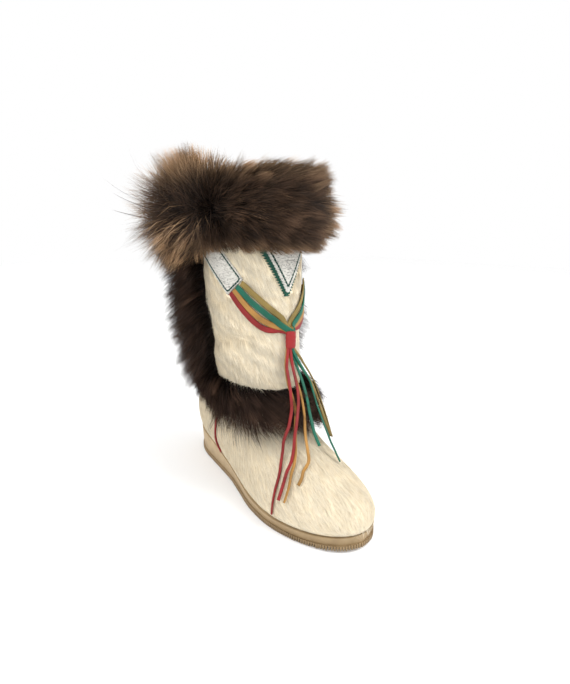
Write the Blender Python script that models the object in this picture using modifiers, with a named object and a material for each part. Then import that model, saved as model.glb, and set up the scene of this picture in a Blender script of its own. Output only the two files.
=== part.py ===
"""Apres-ski boot for the right foot: hair-on hide upper on a low rubber wedge sole.

Frame while modelling: toe towards -Y, heel back at y = 0, medial side +X, floor at z = 0.
At the end everything moves so that the origin is the centre of the box's bottom.
"""
import functools
import math
import random

import bmesh
import bpy
import numpy as np
from mathutils import Vector

# Driving sizes, in metres
SOLE_LENGTH = 0.272
BALL_WIDTH = 0.0915
HEEL_THICKNESS = 0.027
WAIST_THICKNESS = 0.0145
FOREFOOT_THICKNESS = 0.0105
TOE_SPRING = 0.004
WAIST_LIFT = 0.001
TREAD_PITCH = 0.0125
TREAD_DEPTH = 0.0020
TREAD_REACH = 0.93
TREAD_RIB = 0.62
TREAD_BAND = 0.0032
TREAD_STEP = 0.0006
SOLE_FLARE = 0.0012
WELT_LEDGE = 0.0014
INSTEP_RISE = 0.100
COLLAR_HEIGHT = 0.305
SHAFT_FRONT = 0.161
SHAFT_DEPTH = 0.166
SHAFT_WIDTH = 0.094
UPPER_WALL = 0.003
INSOLE_THICKNESS = 0.004
CLEARANCE = 0.0003
FUR_SEAT = 0.0013
TRIM_SEAT = 0.0005

# Fur: how far the backing reaches, how thick the underfur is and how long the locks are
CUFF_WIDTH = 0.060
CUFF_STAND = 0.003
CUFF_DEPTH = 0.019
CUFF_BACK_GAIN = 1.05
CUFF_LOCK = 0.014
CUFF_LOCK_GAIN = 0.50
BAND_TOP_FRONT = 0.109
BAND_TOP_BACK = 0.121
BAND_WIDTH_FRONT = 0.026
BAND_WIDTH_BACK = 0.031
BAND_DEPTH = 0.012
BAND_LOCK = 0.020
BAND_LOCK_BACK = 0.013
BAND_LOCK_PRESSED = 0.004
PRESSED_FROM = -27.0
PRESSED_TO = 42.0
STRIP_GAP = 0.003
STRIP_EDGE_ANGLE = 80.0
STRIP_EDGE_TOP = 0.185
STRIP_DEPTH = 0.012
STRIP_LOCK = 0.017
STRIP_LOCK_UNDER_CUFF = 0.007
STRIP_LOCK_RISE = -0.5
LOCK_TIP = 0.30
CUFF_LOCK_RISE = 0.7
BAND_LOCK_RISE = -1.1

# Leather trim
LEATHER = 0.0012
UNDERLAY_LEATHER = 0.0008
V_HALF_WIDTH = 0.021
V_DROP = 0.045
V_TIP_HALF = 0.0003
UNDERLAY_MARGIN = 0.0032
TOOTH_PITCH = 0.0060
TOOTH_DEPTH = 0.0014
TAB_START = (-78.0, 0.876)
TAB_END = (-50.0, 0.811)
TAB_HALF_AROUND = 7.2
TAB_HALF_UP = 0.0140
TAB_STEPS = 12
TAB_PINK = 0.10
THONG_WIDTH = 0.0024
THONG_THICKNESS = 0.0012
STRAND_WIDTH = 0.0032
WRAP_WIDTH = 0.0092
WRAP_DEPTH = 0.0060
WRAP_HEIGHT = 0.0160
PIPING_WIDTH = 0.0024
PIPING_RISE = 0.0016

# Mesh steps, and how unlike the locks are
SOLE_END_STEPS = (0.0009, 0.0026, 0.0052, 0.0090)
INSOLE_SECTIONS = 26
INSOLE_END = 0.001
THONG_SECTIONS = 13
PIPING_SECTIONS = 11
WRAP_SIDES = 12
SHARP_ANGLE = 40.0
LOCK_LENGTH_SPREAD = 0.15
LOCK_RISE_SPREAD = 0.2
LOCK_SEED = 11
RING_COUNT = 18
AROUND_COUNT = 36
CUFF_ROWS = 4
BAND_ROWS = 3
STRIP_ROWS = 6
V_ROWS = 4
V_COLUMNS = (-1.0, -0.67, -0.33, 0.0, 0.33, 0.67, 1.0)

# Outline of the sole from heel to toe. along is a share of SOLE_LENGTH, the others are
# shares of BALL_WIDTH: half the width, and how far the middle lies to the medial side.
OUTLINE_COLUMNS = ("along", "half", "middle")
OUTLINE = (
    (0.00, 0.335, 0.005),
    (0.12, 0.345, 0.006),
    (0.25, 0.360, -0.002),
    (0.40, 0.374, -0.020),
    (0.52, 0.405, -0.042),
    (0.62, 0.462, -0.036),
    (0.72, 0.500, -0.006),
    (0.82, 0.512, 0.022),
    (0.92, 0.510, 0.028),
    (1.00, 0.505, 0.028),
)
TOE_ROUND = 0.30
HEEL_ROUND = 0.185

# Top of the sole from heel to toe: how much of each thickness it has there
SOLE_TOP_COLUMNS = ("along", "heel", "waist", "forefoot")
SOLE_TOP = (
    (0.00, 1.00, 0.00, 0.00),
    (0.12, 0.98, 0.02, 0.00),
    (0.25, 0.74, 0.26, 0.00),
    (0.38, 0.28, 0.72, 0.00),
    (0.52, 0.00, 0.80, 0.20),
    (0.64, 0.00, 0.25, 0.75),
    (0.76, 0.00, 0.00, 1.00),
    (1.00, 0.00, 0.00, 1.00),
)

# Bottom of the sole: share of WAIST_LIFT and of TOE_SPRING
SOLE_BOTTOM_COLUMNS = ("along", "waist", "spring")
SOLE_BOTTOM = (
    (0.00, 0.0, 0.25),
    (0.04, 0.0, 0.00),
    (0.28, 0.0, 0.00),
    (0.45, 1.0, 0.00),
    (0.58, 0.0, 0.00),
    (0.78, 0.0, 0.00),
    (0.90, 0.0, 0.35),
    (1.00, 0.0, 1.00),
)

# Rings of the foot, from the sole's edge up to the ankle. front, back, toe_round and
# heel_round are shares of SOLE_LENGTH, the rises are shares of INSTEP_RISE above the sole,
# foot says how far the ring keeps the sole's outline, follow how far it keeps its arch.
FOOT_COLUMNS = (
    "front", "front_rise", "back", "back_rise", "fore_width", "heel_width",
    "foot", "follow", "toe_round", "heel_round",
)
FOOT_RINGS = (
    (1.000, 0.000, 0.000, 0.000, 1.000, 1.000, 1.00, 1.00, 0.300, 0.185),
    (1.012, 0.085, -0.021, 0.100, 0.985, 1.060, 1.00, 1.00, 0.300, 0.180),
    (1.008, 0.165, -0.030, 0.230, 0.900, 1.090, 1.00, 0.90, 0.300, 0.175),
    (0.980, 0.240, -0.025, 0.370, 0.800, 1.060, 0.98, 0.70, 0.320, 0.175),
    (0.930, 0.315, 0.004, 0.510, 0.700, 0.980, 0.93, 0.50, 0.340, 0.180),
    (0.860, 0.395, 0.038, 0.640, 0.660, 0.890, 0.85, 0.30, 0.350, 0.200),
    (0.775, 0.480, 0.050, 0.760, 0.700, 0.870, 0.72, 0.10, 0.350, 0.220),
    (0.693, 0.600, 0.050, 0.880, 0.790, 0.870, 0.50, 0.00, 0.330, 0.250),
    (0.632, 0.780, 0.040, 1.010, 0.890, 0.890, 0.25, 0.00, 0.310, 0.270),
)

# Rings of the shaft. The rises are shares of COLLAR_HEIGHT above the floor, depth and
# width are shares of SHAFT_DEPTH and SHAFT_WIDTH.
SHAFT_COLUMNS = ("front_rise", "back_rise", "depth", "width")
SHAFT_RINGS = (
    (0.390, 0.475, 0.935, 0.930),
    (0.490, 0.550, 0.965, 0.965),
    (0.615, 0.650, 0.985, 0.990),
    (0.750, 0.765, 1.000, 1.000),
    (0.880, 0.885, 1.000, 1.000),
    (1.000, 1.000, 1.000, 1.000),
)

# Fullness of the fur from the lower edge of its backing to the upper one
FULLNESS_COLUMNS = ("share", "cuff", "band")
FULLNESS = (
    (0.00, 0.30, 0.35),
    (0.25, 0.85, 0.90),
    (0.50, 1.00, 1.00),
    (0.75, 0.95, 0.90),
    (1.00, 0.45, 0.40),
)

# Thongs from the lateral tab to the wrap: around in degrees, up as share of the rings,
# layer 0 on the hide and 1 on the other thongs. The medial ones are their mirror image.
THONG_ROUTES = {
    "red": ((-54.0, 0.802, 0), (-45.0, 0.779, 0), (-34.0, 0.759, 0), (-23.0, 0.747, 0), (-9.5, 0.7465, 0)),
    "gold": ((-50.5, 0.808, 0), (-40.0, 0.784, 0), (-29.0, 0.766, 0), (-16.0, 0.755, 0), (-5.0, 0.7500, 0)),
    "green": ((-47.5, 0.814, 0), (-36.0, 0.793, 0), (-23.0, 0.774, 1), (-11.0, 0.760, 1), (-6.0, 0.7515, 1)),
    "olive": ((-44.0, 0.820, 0), (-31.0, 0.800, 0), (-17.0, 0.780, 1), (-6.0, 0.765, 1), (-2.2, 0.7520, 1)),
}

# Strands of the tassel: around in degrees, up as share of the rings, lift off the hide
STRAND_ROUTES = {
    "red_long": (
        (-3.8, 0.726, 0.0053), (-4.4, 0.705, 0.0066), (-5.0, 0.676, 0.0108), (-6.0, 0.632, 0.0186),
        (-9.0, 0.566, 0.0205), (-19.5, 0.496, 0.0200), (-34.5, 0.435, 0.0135), (-50.5, 0.332, 0.0040),
        (-57.5, 0.179, 0.0014), (-58.0, 0.040, 0.0014),
    ),
    "red_short": (
        (0.4, 0.726, 0.0053), (0.8, 0.705, 0.0066), (1.0, 0.670, 0.0116), (-1.0, 0.615, 0.0205),
        (-5.0, 0.560, 0.0225), (-13.5, 0.495, 0.0220), (-31.5, 0.407, 0.0115), (-48.5, 0.292, 0.0036),
        (-54.0, 0.150, 0.0032),
    ),
    "gold_long": (
        (-3.8, 0.726, 0.0034), (-3.4, 0.705, 0.0042), (-4.0, 0.676, 0.0075), (-6.0, 0.632, 0.0160),
        (-5.5, 0.566, 0.0187), (-13.0, 0.496, 0.0180), (-28.0, 0.412, 0.0085), (-44.0, 0.305, 0.0014),
        (-50.0, 0.160, 0.0014),
    ),
    "gold_short": (
        (0.4, 0.726, 0.0034), (1.2, 0.705, 0.0042), (3.0, 0.670, 0.0085), (2.0, 0.625, 0.0165),
        (2.0, 0.585, 0.0192), (-1.0, 0.520, 0.0192), (-9.0, 0.458, 0.0145), (-18.0, 0.398, 0.0052),
        (-31.0, 0.350, 0.0014), (-41.0, 0.268, 0.0014),
    ),
    "green_short": (
        (4.6, 0.726, 0.0034), (5.6, 0.705, 0.0042), (8.0, 0.672, 0.0085), (7.0, 0.630, 0.0165),
        (7.0, 0.575, 0.0200), (6.0, 0.500, 0.0190), (4.0, 0.430, 0.0115),
    ),
    "green_long": (
        (4.6, 0.726, 0.0053), (6.8, 0.705, 0.0062), (12.0, 0.670, 0.0106), (14.5, 0.625, 0.0184),
        (16.0, 0.560, 0.0210), (19.0, 0.480, 0.0200), (22.0, 0.410, 0.0125), (24.5, 0.353, 0.0030),
    ),
    "olive_short": (
        (4.6, 0.726, 0.0015), (8.5, 0.705, 0.0024), (16.0, 0.665, 0.0075), (21.5, 0.615, 0.0160),
        (24.0, 0.550, 0.0195), (27.0, 0.470, 0.0185), (28.5, 0.415, 0.0140),
    ),
    "olive_long": (
        (8.2, 0.726, 0.0038), (12.5, 0.705, 0.0046), (21.5, 0.665, 0.0090), (29.5, 0.610, 0.0165),
        (34.0, 0.545, 0.0195), (36.0, 0.465, 0.0185), (35.0, 0.400, 0.0125),
    ),
}
WRAP_PLACE = (2.0, 0.729)

# Heel seam: around and up, from under the ankle fur to the sole
PIPING_ROUTE = ((-112.5, 0.215), (-113.2, 0.150), (-113.8, 0.085), (-112.6, 0.040), (-109.5, 0.012))

# Materials: colour, roughness and metallic value
FINISHES = {
    "rubber": ((0.36, 0.25, 0.15), 0.62, 0.0),
    "insole_board": ((0.55, 0.45, 0.33), 0.85, 0.0),
    "hide": ((0.72, 0.63, 0.48), 0.80, 0.0),
    "cuff_fur": ((0.13, 0.075, 0.045), 0.85, 0.0),
    "dark_fur": ((0.035, 0.022, 0.018), 0.85, 0.0),
    "white_leather": ((0.72, 0.71, 0.70), 0.45, 0.0),
    "red_leather": ((0.50, 0.035, 0.04), 0.50, 0.0),
    "gold_leather": ((0.52, 0.28, 0.07), 0.50, 0.0),
    "green_leather": ((0.02, 0.22, 0.13), 0.50, 0.0),
    "olive_leather": ((0.28, 0.22, 0.06), 0.50, 0.0),
}


def clear_scene():
    """Remove what the file starts with."""
    for item in list(bpy.data.objects):
        bpy.data.objects.remove(item, do_unlink=True)


def column_values(columns, rows, name):
    """One named column of a table as an array."""
    return np.array([row[columns.index(name)] for row in rows], dtype=float)


def smooth_lookup(knots, values, at):
    """Catmull-Rom value at a place between knots, flat beyond both ends."""
    at = min(max(at, knots[0]), knots[-1])
    cell = int(min(np.searchsorted(knots, at, side="right") - 1, len(knots) - 2))
    span = knots[cell + 1] - knots[cell]
    share = (at - knots[cell]) / span
    before = max(cell - 1, 0)
    after = min(cell + 2, len(knots) - 1)
    slope_in = (values[cell + 1] - values[before]) / (knots[cell + 1] - knots[before]) * span
    slope_out = (values[after] - values[cell]) / (knots[after] - knots[cell]) * span
    square = share * share
    cube = square * share
    return (
        (2 * cube - 3 * square + 1) * values[cell]
        + (cube - 2 * square + share) * slope_in
        + (3 * square - 2 * cube) * values[cell + 1]
        + (cube - square) * slope_out
    )


def table_value(columns, rows, name, at):
    """Smooth value of a column at a place in the table's first column."""
    knots = column_values(columns, rows, columns[0])
    return smooth_lookup(knots, column_values(columns, rows, name), at)


def sole_top(along):
    """Height of the sole's upper face."""
    thickness = (
        HEEL_THICKNESS * table_value(SOLE_TOP_COLUMNS, SOLE_TOP, "heel", along)
        + WAIST_THICKNESS * table_value(SOLE_TOP_COLUMNS, SOLE_TOP, "waist", along)
        + FOREFOOT_THICKNESS * table_value(SOLE_TOP_COLUMNS, SOLE_TOP, "forefoot", along)
    )
    return thickness + TOE_SPRING * spring_share(along)


def spring_share(along):
    """Share of the toe spring, without the rounding under the heel."""
    if along < 0.5:
        return 0.0
    return max(0.0, table_value(SOLE_BOTTOM_COLUMNS, SOLE_BOTTOM, "spring", along))


def sole_bottom(along):
    """Height of the tread's lowest face."""
    lift = WAIST_LIFT * max(0.0, table_value(SOLE_BOTTOM_COLUMNS, SOLE_BOTTOM, "waist", along))
    return lift + TOE_SPRING * max(0.0, table_value(SOLE_BOTTOM_COLUMNS, SOLE_BOTTOM, "spring", along))


def end_round(distance, reach):
    """Elliptic fall of a width to zero at an end, 1 from reach on."""
    share = min(max(distance / reach, 0.0), 1.0)
    return math.sqrt(max(0.0, 1.0 - (1.0 - share) ** 2))


def foot_half(along):
    """Half the outline's width, before its ends are rounded."""
    return BALL_WIDTH * table_value(OUTLINE_COLUMNS, OUTLINE, "half", along)


def foot_middle(along):
    """How far the outline's middle lies to the medial side."""
    return BALL_WIDTH * table_value(OUTLINE_COLUMNS, OUTLINE, "middle", along)


def outline_x(along, side, inset):
    """X of the sole's edge; side is -1 lateral, +1 medial."""
    start = inset / SOLE_LENGTH
    rounding = end_round(1.0 - start - along, TOE_ROUND) * end_round(along - start, HEEL_ROUND)
    return foot_middle(along) + side * max(0.0, foot_half(along) - inset) * rounding


def foot_ring(row):
    """A foot ring in metres."""
    ring = dict(zip(FOOT_COLUMNS, row))
    span = SOLE_LENGTH - 2.0 * WELT_LEDGE
    return {
        "front": WELT_LEDGE + ring["front"] * span,
        "back": WELT_LEDGE + ring["back"] * span,
        "front_z": sole_top(ring["front"]) + CLEARANCE + ring["front_rise"] * INSTEP_RISE,
        "back_z": sole_top(ring["back"]) + CLEARANCE + ring["back_rise"] * INSTEP_RISE,
        "fore_width": ring["fore_width"],
        "heel_width": ring["heel_width"],
        "foot": ring["foot"],
        "follow": ring["follow"],
        "front_round": ring["toe_round"] * SOLE_LENGTH,
        "back_round": ring["heel_round"] * SOLE_LENGTH,
    }


def shaft_ring(row):
    """A shaft ring in metres: an ellipse."""
    ring = dict(zip(SHAFT_COLUMNS, row))
    return {
        "front": SHAFT_FRONT,
        "back": SHAFT_FRONT - SHAFT_DEPTH * ring["depth"],
        "front_z": ring["front_rise"] * COLLAR_HEIGHT,
        "back_z": ring["back_rise"] * COLLAR_HEIGHT,
        "fore_width": ring["width"],
        "heel_width": ring["width"],
        "foot": 0.0,
        "follow": 0.0,
        "front_round": SHAFT_DEPTH * ring["depth"] * 0.5,
        "back_round": SHAFT_DEPTH * ring["depth"] * 0.5,
    }


RINGS = [foot_ring(row) for row in FOOT_RINGS] + [shaft_ring(row) for row in SHAFT_RINGS]


@functools.lru_cache(maxsize=None)
def ring_at(up):
    """Ring between the table's rows; up runs from 0 at the sole to 1 at the collar."""
    place = min(max(up, 0.0), 1.0) * (len(RINGS) - 1)
    knots = np.arange(len(RINGS), dtype=float)
    return {
        key: smooth_lookup(knots, [ring[key] for ring in RINGS], place)
        for key in RINGS[0]
    }


def back_share(around):
    """0 at the front of a ring, 1 at its back."""
    return (1.0 - math.cos(math.radians(around))) * 0.5


def ring_point(ring, around):
    """Point of a ring; around is in degrees from the front, negative to the lateral side."""
    share = back_share(around)
    distance = ring["front"] + (ring["back"] - ring["front"]) * share
    along = distance / SOLE_LENGTH
    width = ring["fore_width"] * (1.0 - share) + ring["heel_width"] * share
    half = width * (
        ring["foot"] * (foot_half(along) - WELT_LEDGE) + (1.0 - ring["foot"]) * SHAFT_WIDTH * 0.5
    )
    half *= end_round(ring["front"] - distance, ring["front_round"])
    half *= end_round(distance - ring["back"], ring["back_round"])
    side = math.copysign(1.0, math.sin(math.radians(around)))
    x = ring["foot"] * foot_middle(along) + side * half
    level = ring["front_z"] + (ring["back_z"] - ring["front_z"]) * share
    ends = sole_top(ring["front"] / SOLE_LENGTH) * (1.0 - share) + sole_top(ring["back"] / SOLE_LENGTH) * share
    level += ring["follow"] * (sole_top(along) - ends)
    return Vector((x, -distance, level))


def skin(around, up, lift=0.0):
    """Point at a distance off the upper's outer face."""
    ring = ring_at(up)
    point = ring_point(ring, around)
    if lift == 0.0:
        return point
    step_around = 1.5
    step_up = 0.006
    across = ring_point(ring, around + step_around) - ring_point(ring, around - step_around)
    upward = ring_point(ring_at(up + step_up), around) - ring_point(ring_at(up - step_up), around)
    return point + across.cross(upward).normalized() * lift


@functools.lru_cache(maxsize=None)
def rise_samples(around):
    """Heights of the skin at even steps of up."""
    steps = 4 * (len(RINGS) - 1)
    ups = [step / steps for step in range(steps + 1)]
    return ups, [ring_point(ring_at(up), around).z for up in ups]


def up_for(around, height):
    """Where on the rings the skin has a height."""
    ups, heights = rise_samples(around)
    return float(np.interp(height, heights, ups))


def skin_at(around, height, lift=0.0):
    """Point off the skin at a height above the floor, also above the collar."""
    if height <= COLLAR_HEIGHT:
        return skin(around, up_for(around, height), lift)
    return skin(around, 1.0, lift) + Vector((0.0, 0.0, height - COLLAR_HEIGHT))


def finish(name):
    """Material with the named finish."""
    material = bpy.data.materials.get(name)
    if material is None:
        colour, roughness, metallic = FINISHES[name]
        material = bpy.data.materials.new(name)
        material.use_nodes = True
        shader = material.node_tree.nodes["Principled BSDF"]
        shader.inputs["Base Color"].default_value = (*colour, 1.0)
        shader.inputs["Roughness"].default_value = roughness
        shader.inputs["Metallic"].default_value = metallic
    return material


def new_object(name, vertices, faces, finish_name, collection):
    """Mesh object with outward faces, shaded smooth."""
    mesh = bpy.data.meshes.new(name)
    mesh.from_pydata([tuple(vertex) for vertex in vertices], [], faces)
    sketch = bmesh.new()
    sketch.from_mesh(mesh)
    bmesh.ops.recalc_face_normals(sketch, faces=sketch.faces)
    sketch.to_mesh(mesh)
    sketch.free()
    mesh.shade_smooth()
    mesh.set_sharp_from_angle(angle=math.radians(SHARP_ANGLE))
    item = bpy.data.objects.new(name, mesh)
    mesh.materials.append(finish(finish_name))
    collection.objects.link(item)
    return item


def loft(sections, closed_ends=True):
    """Vertices and faces through closed sections of equal length."""
    count = len(sections[0])
    vertices = [point for section in sections for point in section]
    faces = []
    for row in range(len(sections) - 1):
        for column in range(count):
            following = (column + 1) % count
            faces.append((
                row * count + column,
                row * count + following,
                (row + 1) * count + following,
                (row + 1) * count + column,
            ))
    if closed_ends:
        faces.append(tuple(range(count)))
        faces.append(tuple((len(sections) - 1) * count + column for column in range(count)))
    return vertices, faces


def around_angles(count):
    """Even angles round a ring, from the back on the lateral side to the back again."""
    return [-180.0 + 360.0 * step / count for step in range(count)]


def make_upper(collection):
    """Foot and shaft as one hollow wall, open at the collar and underneath."""
    angles = around_angles(AROUND_COUNT)
    sections = [
        [skin(around, row / (RING_COUNT - 1)) for around in angles] for row in range(RING_COUNT)
    ]
    vertices, faces = loft(sections, closed_ends=False)
    item = new_object("upper", vertices, faces, "hide", collection)
    wall = item.modifiers.new("wall", "SOLIDIFY")
    wall.thickness = UPPER_WALL
    wall.offset = -1.0
    wall.use_even_offset = True
    return item


def tread_stations():
    """Places along the sole, with rib and groove, from heel to toe."""
    stations = []
    count = int(SOLE_LENGTH * TREAD_REACH / TREAD_PITCH)
    first = (SOLE_LENGTH - count * TREAD_PITCH) * 0.5
    wall = TREAD_DEPTH * 0.5
    for rib in range(count):
        start = first + rib * TREAD_PITCH
        groove = start + TREAD_PITCH * TREAD_RIB
        stations.append((start + wall, 0.0))
        stations.append((groove, 0.0))
        stations.append((groove + wall, 1.0))
        stations.append((start + TREAD_PITCH, 1.0))
    stations[-1] = (first + count * TREAD_PITCH, 0.0)
    heel = [(place, 0.0) for place in SOLE_END_STEPS if place < first]
    toe = [(SOLE_LENGTH - place, 0.0) for place in reversed(SOLE_END_STEPS) if place < first]
    return heel + stations + toe


def sole_section(place, groove):
    """Closed cross section of the sole: tread layer, step, flared wedge, footbed."""
    along = place / SOLE_LENGTH
    bottom = sole_bottom(along)
    top = sole_top(along)
    under = bottom + TREAD_DEPTH * groove
    step = bottom + TREAD_BAND
    low = [outline_x(along, side, SOLE_FLARE) for side in (-1.0, 1.0)]
    wedge = [outline_x(along, side, SOLE_FLARE + TREAD_STEP) for side in (-1.0, 1.0)]
    high = [outline_x(along, side, 0.0) for side in (-1.0, 1.0)]
    corners = (
        (low[0], under), (low[1], under), (low[1], step), (wedge[1], step),
        (high[1], top), (high[0], top), (wedge[0], step), (low[0], step),
    )
    return [Vector((x, -place, z)) for x, z in corners]


def make_outsole(collection):
    """Rubber wedge with a ribbed tread."""
    sections = [sole_section(place, groove) for place, groove in tread_stations()]
    vertices, faces = loft(sections)
    return new_object("outsole", vertices, faces, "rubber", collection)


def make_insole(collection):
    """Thin footbed that fits between the upper's walls."""
    inset = WELT_LEDGE + UPPER_WALL + 2.0 * CLEARANCE
    reach = SOLE_LENGTH - 2.0 * inset
    sections = []
    for step in range(INSOLE_SECTIONS):
        share = 0.5 - (0.5 - INSOLE_END) * math.cos(math.pi * step / (INSOLE_SECTIONS - 1))
        along = (inset + share * reach) / SOLE_LENGTH
        low = sole_top(along) + CLEARANCE
        sides = [outline_x(along, side, inset) for side in (-1.0, 1.0)]
        middle = 0.5 * (sides[0] + sides[1])
        corners = (
            (sides[0], low), (middle, low), (sides[1], low),
            (sides[1], low + INSOLE_THICKNESS), (middle, low + INSOLE_THICKNESS),
            (sides[0], low + INSOLE_THICKNESS),
        )
        sections.append([Vector((x, -along * SOLE_LENGTH, z)) for x, z in corners])
    vertices, faces = loft(sections)
    return new_object("insole", vertices, faces, "insole_board", collection)


def fur_form(name, angles, closed, rows, edges, depth, fullness, locks, finish_name, collection):
    """Backing and underfur over the skin, with a lock grown from each outer face.

    edges gives the lower and upper height at an angle, depth the underfur there, and
    locks the length of a lock and how much of it points up, by angle and share of height.
    """
    shares = [step / rows for step in range(rows + 1)]
    sections = []
    for around in angles:
        low, high = edges(around)
        heights = [low + (high - low) * share for share in shares]
        lifts = [
            depth(around) * table_value(FULLNESS_COLUMNS, FULLNESS, fullness, share) for share in shares
        ]
        inner = [skin_at(around, height, FUR_SEAT) for height in heights]
        outer = [skin_at(around, height, lift) for height, lift in zip(heights, lifts)]
        sections.append(inner + outer[::-1])
    if closed:
        sections.append(sections[0])
    vertices, faces = loft(sections, closed_ends=not closed)
    item = new_object(name, vertices, faces, finish_name, collection)
    grow_locks(item.data, len(angles), rows, closed, locks)
    return item


def grow_locks(mesh, column_count, rows, closed, locks):
    """Draw each outer face out into a tapered lock."""
    ring_size = 2 * (rows + 1)
    spread = random.Random(LOCK_SEED)
    sketch = bmesh.new()
    sketch.from_mesh(mesh)
    sketch.faces.ensure_lookup_table()
    columns = column_count if closed else column_count - 1
    outer = [
        (column, row, sketch.faces[column * ring_size + rows + 1 + row])
        for column in range(columns)
        for row in range(rows)
    ]
    bmesh.ops.remove_doubles(sketch, verts=sketch.verts, dist=1e-6)
    for column, row, face in outer:
        length, rise = locks(column, 1.0 - (row + 0.5) / rows)
        length *= 1.0 + spread.uniform(-LOCK_LENGTH_SPREAD, LOCK_LENGTH_SPREAD)
        rise += spread.uniform(-LOCK_RISE_SPREAD, LOCK_RISE_SPREAD)
        centre = face.calc_center_median()
        normal = face.normal.copy()
        aim = (normal + Vector((0.0, 0.0, rise))).normalized() * length
        grown = bmesh.ops.extrude_discrete_faces(sketch, faces=[face])["faces"][0]
        for vertex in grown.verts:
            vertex.co = centre + (vertex.co - centre) * LOCK_TIP + aim
    bmesh.ops.recalc_face_normals(sketch, faces=sketch.faces)
    sketch.to_mesh(mesh)
    sketch.free()


def make_fur_cuff(collection):
    """Deep fur round the collar, fuller at the back."""
    angles = around_angles(AROUND_COUNT)

    def edges(around):
        return COLLAR_HEIGHT - CUFF_WIDTH, COLLAR_HEIGHT + CUFF_STAND

    def depth(around):
        return CUFF_DEPTH * (1.0 + CUFF_BACK_GAIN * back_share(around))

    def locks(column, share):
        gain = 1.0 + CUFF_LOCK_GAIN * back_share(angles[column])
        return CUFF_LOCK * gain, CUFF_LOCK_RISE * (2.0 * share - 1.0)

    return fur_form(
        "fur_cuff", angles, True, CUFF_ROWS, edges, depth, "cuff", locks, "cuff_fur", collection
    )


def band_edges(around):
    """Lower and upper height of the ankle fur's backing."""
    back = back_share(around)
    top = BAND_TOP_FRONT + (BAND_TOP_BACK - BAND_TOP_FRONT) * back
    width = BAND_WIDTH_FRONT + (BAND_WIDTH_BACK - BAND_WIDTH_FRONT) * back
    return top - width, top


def make_ankle_fur(collection):
    """Fur band round the ankle, pressed flat where the thongs hang over it."""
    angles = around_angles(AROUND_COUNT)

    def depth(around):
        return BAND_DEPTH

    def locks(column, share):
        pressed = PRESSED_FROM <= angles[column] <= PRESSED_TO
        length = BAND_LOCK + (BAND_LOCK_BACK - BAND_LOCK) * back_share(angles[column])
        return (BAND_LOCK_PRESSED if pressed else length), BAND_LOCK_RISE

    return fur_form(
        "ankle_fur", angles, True, BAND_ROWS, band_edges, depth, "band", locks, "dark_fur", collection
    )


def make_back_fur(collection):
    """Fur over the back of the shaft, from the ankle fur up to the cuff."""
    step = 360.0 / AROUND_COUNT
    count = int(2.0 * (180.0 - STRIP_EDGE_ANGLE) / step) + 1
    angles = [STRIP_EDGE_ANGLE + step * column for column in range(count)]

    def edges(around):
        foremost = abs(180.0 - around) >= 180.0 - STRIP_EDGE_ANGLE
        top = STRIP_EDGE_TOP if foremost else COLLAR_HEIGHT - CUFF_WIDTH - STRIP_GAP
        return band_edges(around)[1] + STRIP_GAP, top

    def depth(around):
        return STRIP_DEPTH

    def locks(column, share):
        under_cuff = share > 1.0 - 1.0 / STRIP_ROWS
        return (STRIP_LOCK_UNDER_CUFF if under_cuff else STRIP_LOCK), STRIP_LOCK_RISE

    return fur_form(
        "back_fur", angles, False, STRIP_ROWS, edges, depth, "band", locks, "dark_fur", collection
    )


def sheet_form(name, rows, low, high, finish_name, collection):
    """Thin solid over the skin between two lifts; rows hold (around, height) points."""
    sections = []
    for row in rows:
        under = [skin_at(around, height, low) for around, height in row]
        over = [skin_at(around, height, high) for around, height in row]
        sections.append(under + over[::-1])
    vertices, faces = loft(sections)
    return new_object(name, vertices, faces, finish_name, collection)


def front_angle(distance):
    """Angle round the shaft at a sideways distance from its front line."""
    return math.degrees(math.asin(distance / (SHAFT_WIDTH * 0.5)))


def v_rows(top, drop, half_width, toothed):
    """Rows of a V from its top edge to its tip, with pinked edges if asked."""
    count = 2 * int(drop / TOOTH_PITCH) if toothed else V_ROWS
    rows = []
    for step in range(count + 1):
        share = step / count
        half = half_width * (1.0 - share) + V_TIP_HALF
        if toothed and step % 2 == 1:
            half += TOOTH_DEPTH
        height = top - drop * share
        rows.append([(front_angle(half * side), height) for side in V_COLUMNS])
    return rows


def make_v_trim(collection):
    """Green pinked underlay and the white V on it."""
    top = COLLAR_HEIGHT - CUFF_WIDTH - CLEARANCE
    under_low = TRIM_SEAT
    under_high = under_low + UNDERLAY_LEATHER
    over_low = under_high + TRIM_SEAT
    under = v_rows(top, V_DROP + UNDERLAY_MARGIN, V_HALF_WIDTH + UNDERLAY_MARGIN, True)
    over = v_rows(top, V_DROP, V_HALF_WIDTH, False)
    sheet_form("v_underlay", under, under_low, under_high, "green_leather", collection)
    sheet_form("v_patch", over, over_low, over_low + LEATHER, "white_leather", collection)


def tab_rows(side):
    """Rows of a tab from the cuff down to its lower edge, pinked on three edges."""
    rows = []
    for step in range(TAB_STEPS + 1):
        share = step / TAB_STEPS
        around = TAB_START[0] + (TAB_END[0] - TAB_START[0]) * share
        up = TAB_START[1] + (TAB_END[1] - TAB_START[1]) * share
        pink = 1.0 + (TAB_PINK if step % 2 == 1 else 0.0)
        row = []
        for across in (-1.0, 0.0, 1.0):
            place = around + across * TAB_HALF_AROUND * pink
            height = skin(place, up + across * TAB_HALF_UP * pink).z
            height = min(height, COLLAR_HEIGHT - CUFF_WIDTH - CLEARANCE)
            row.append((side * place, height))
        rows.append(row)
    return rows


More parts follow.
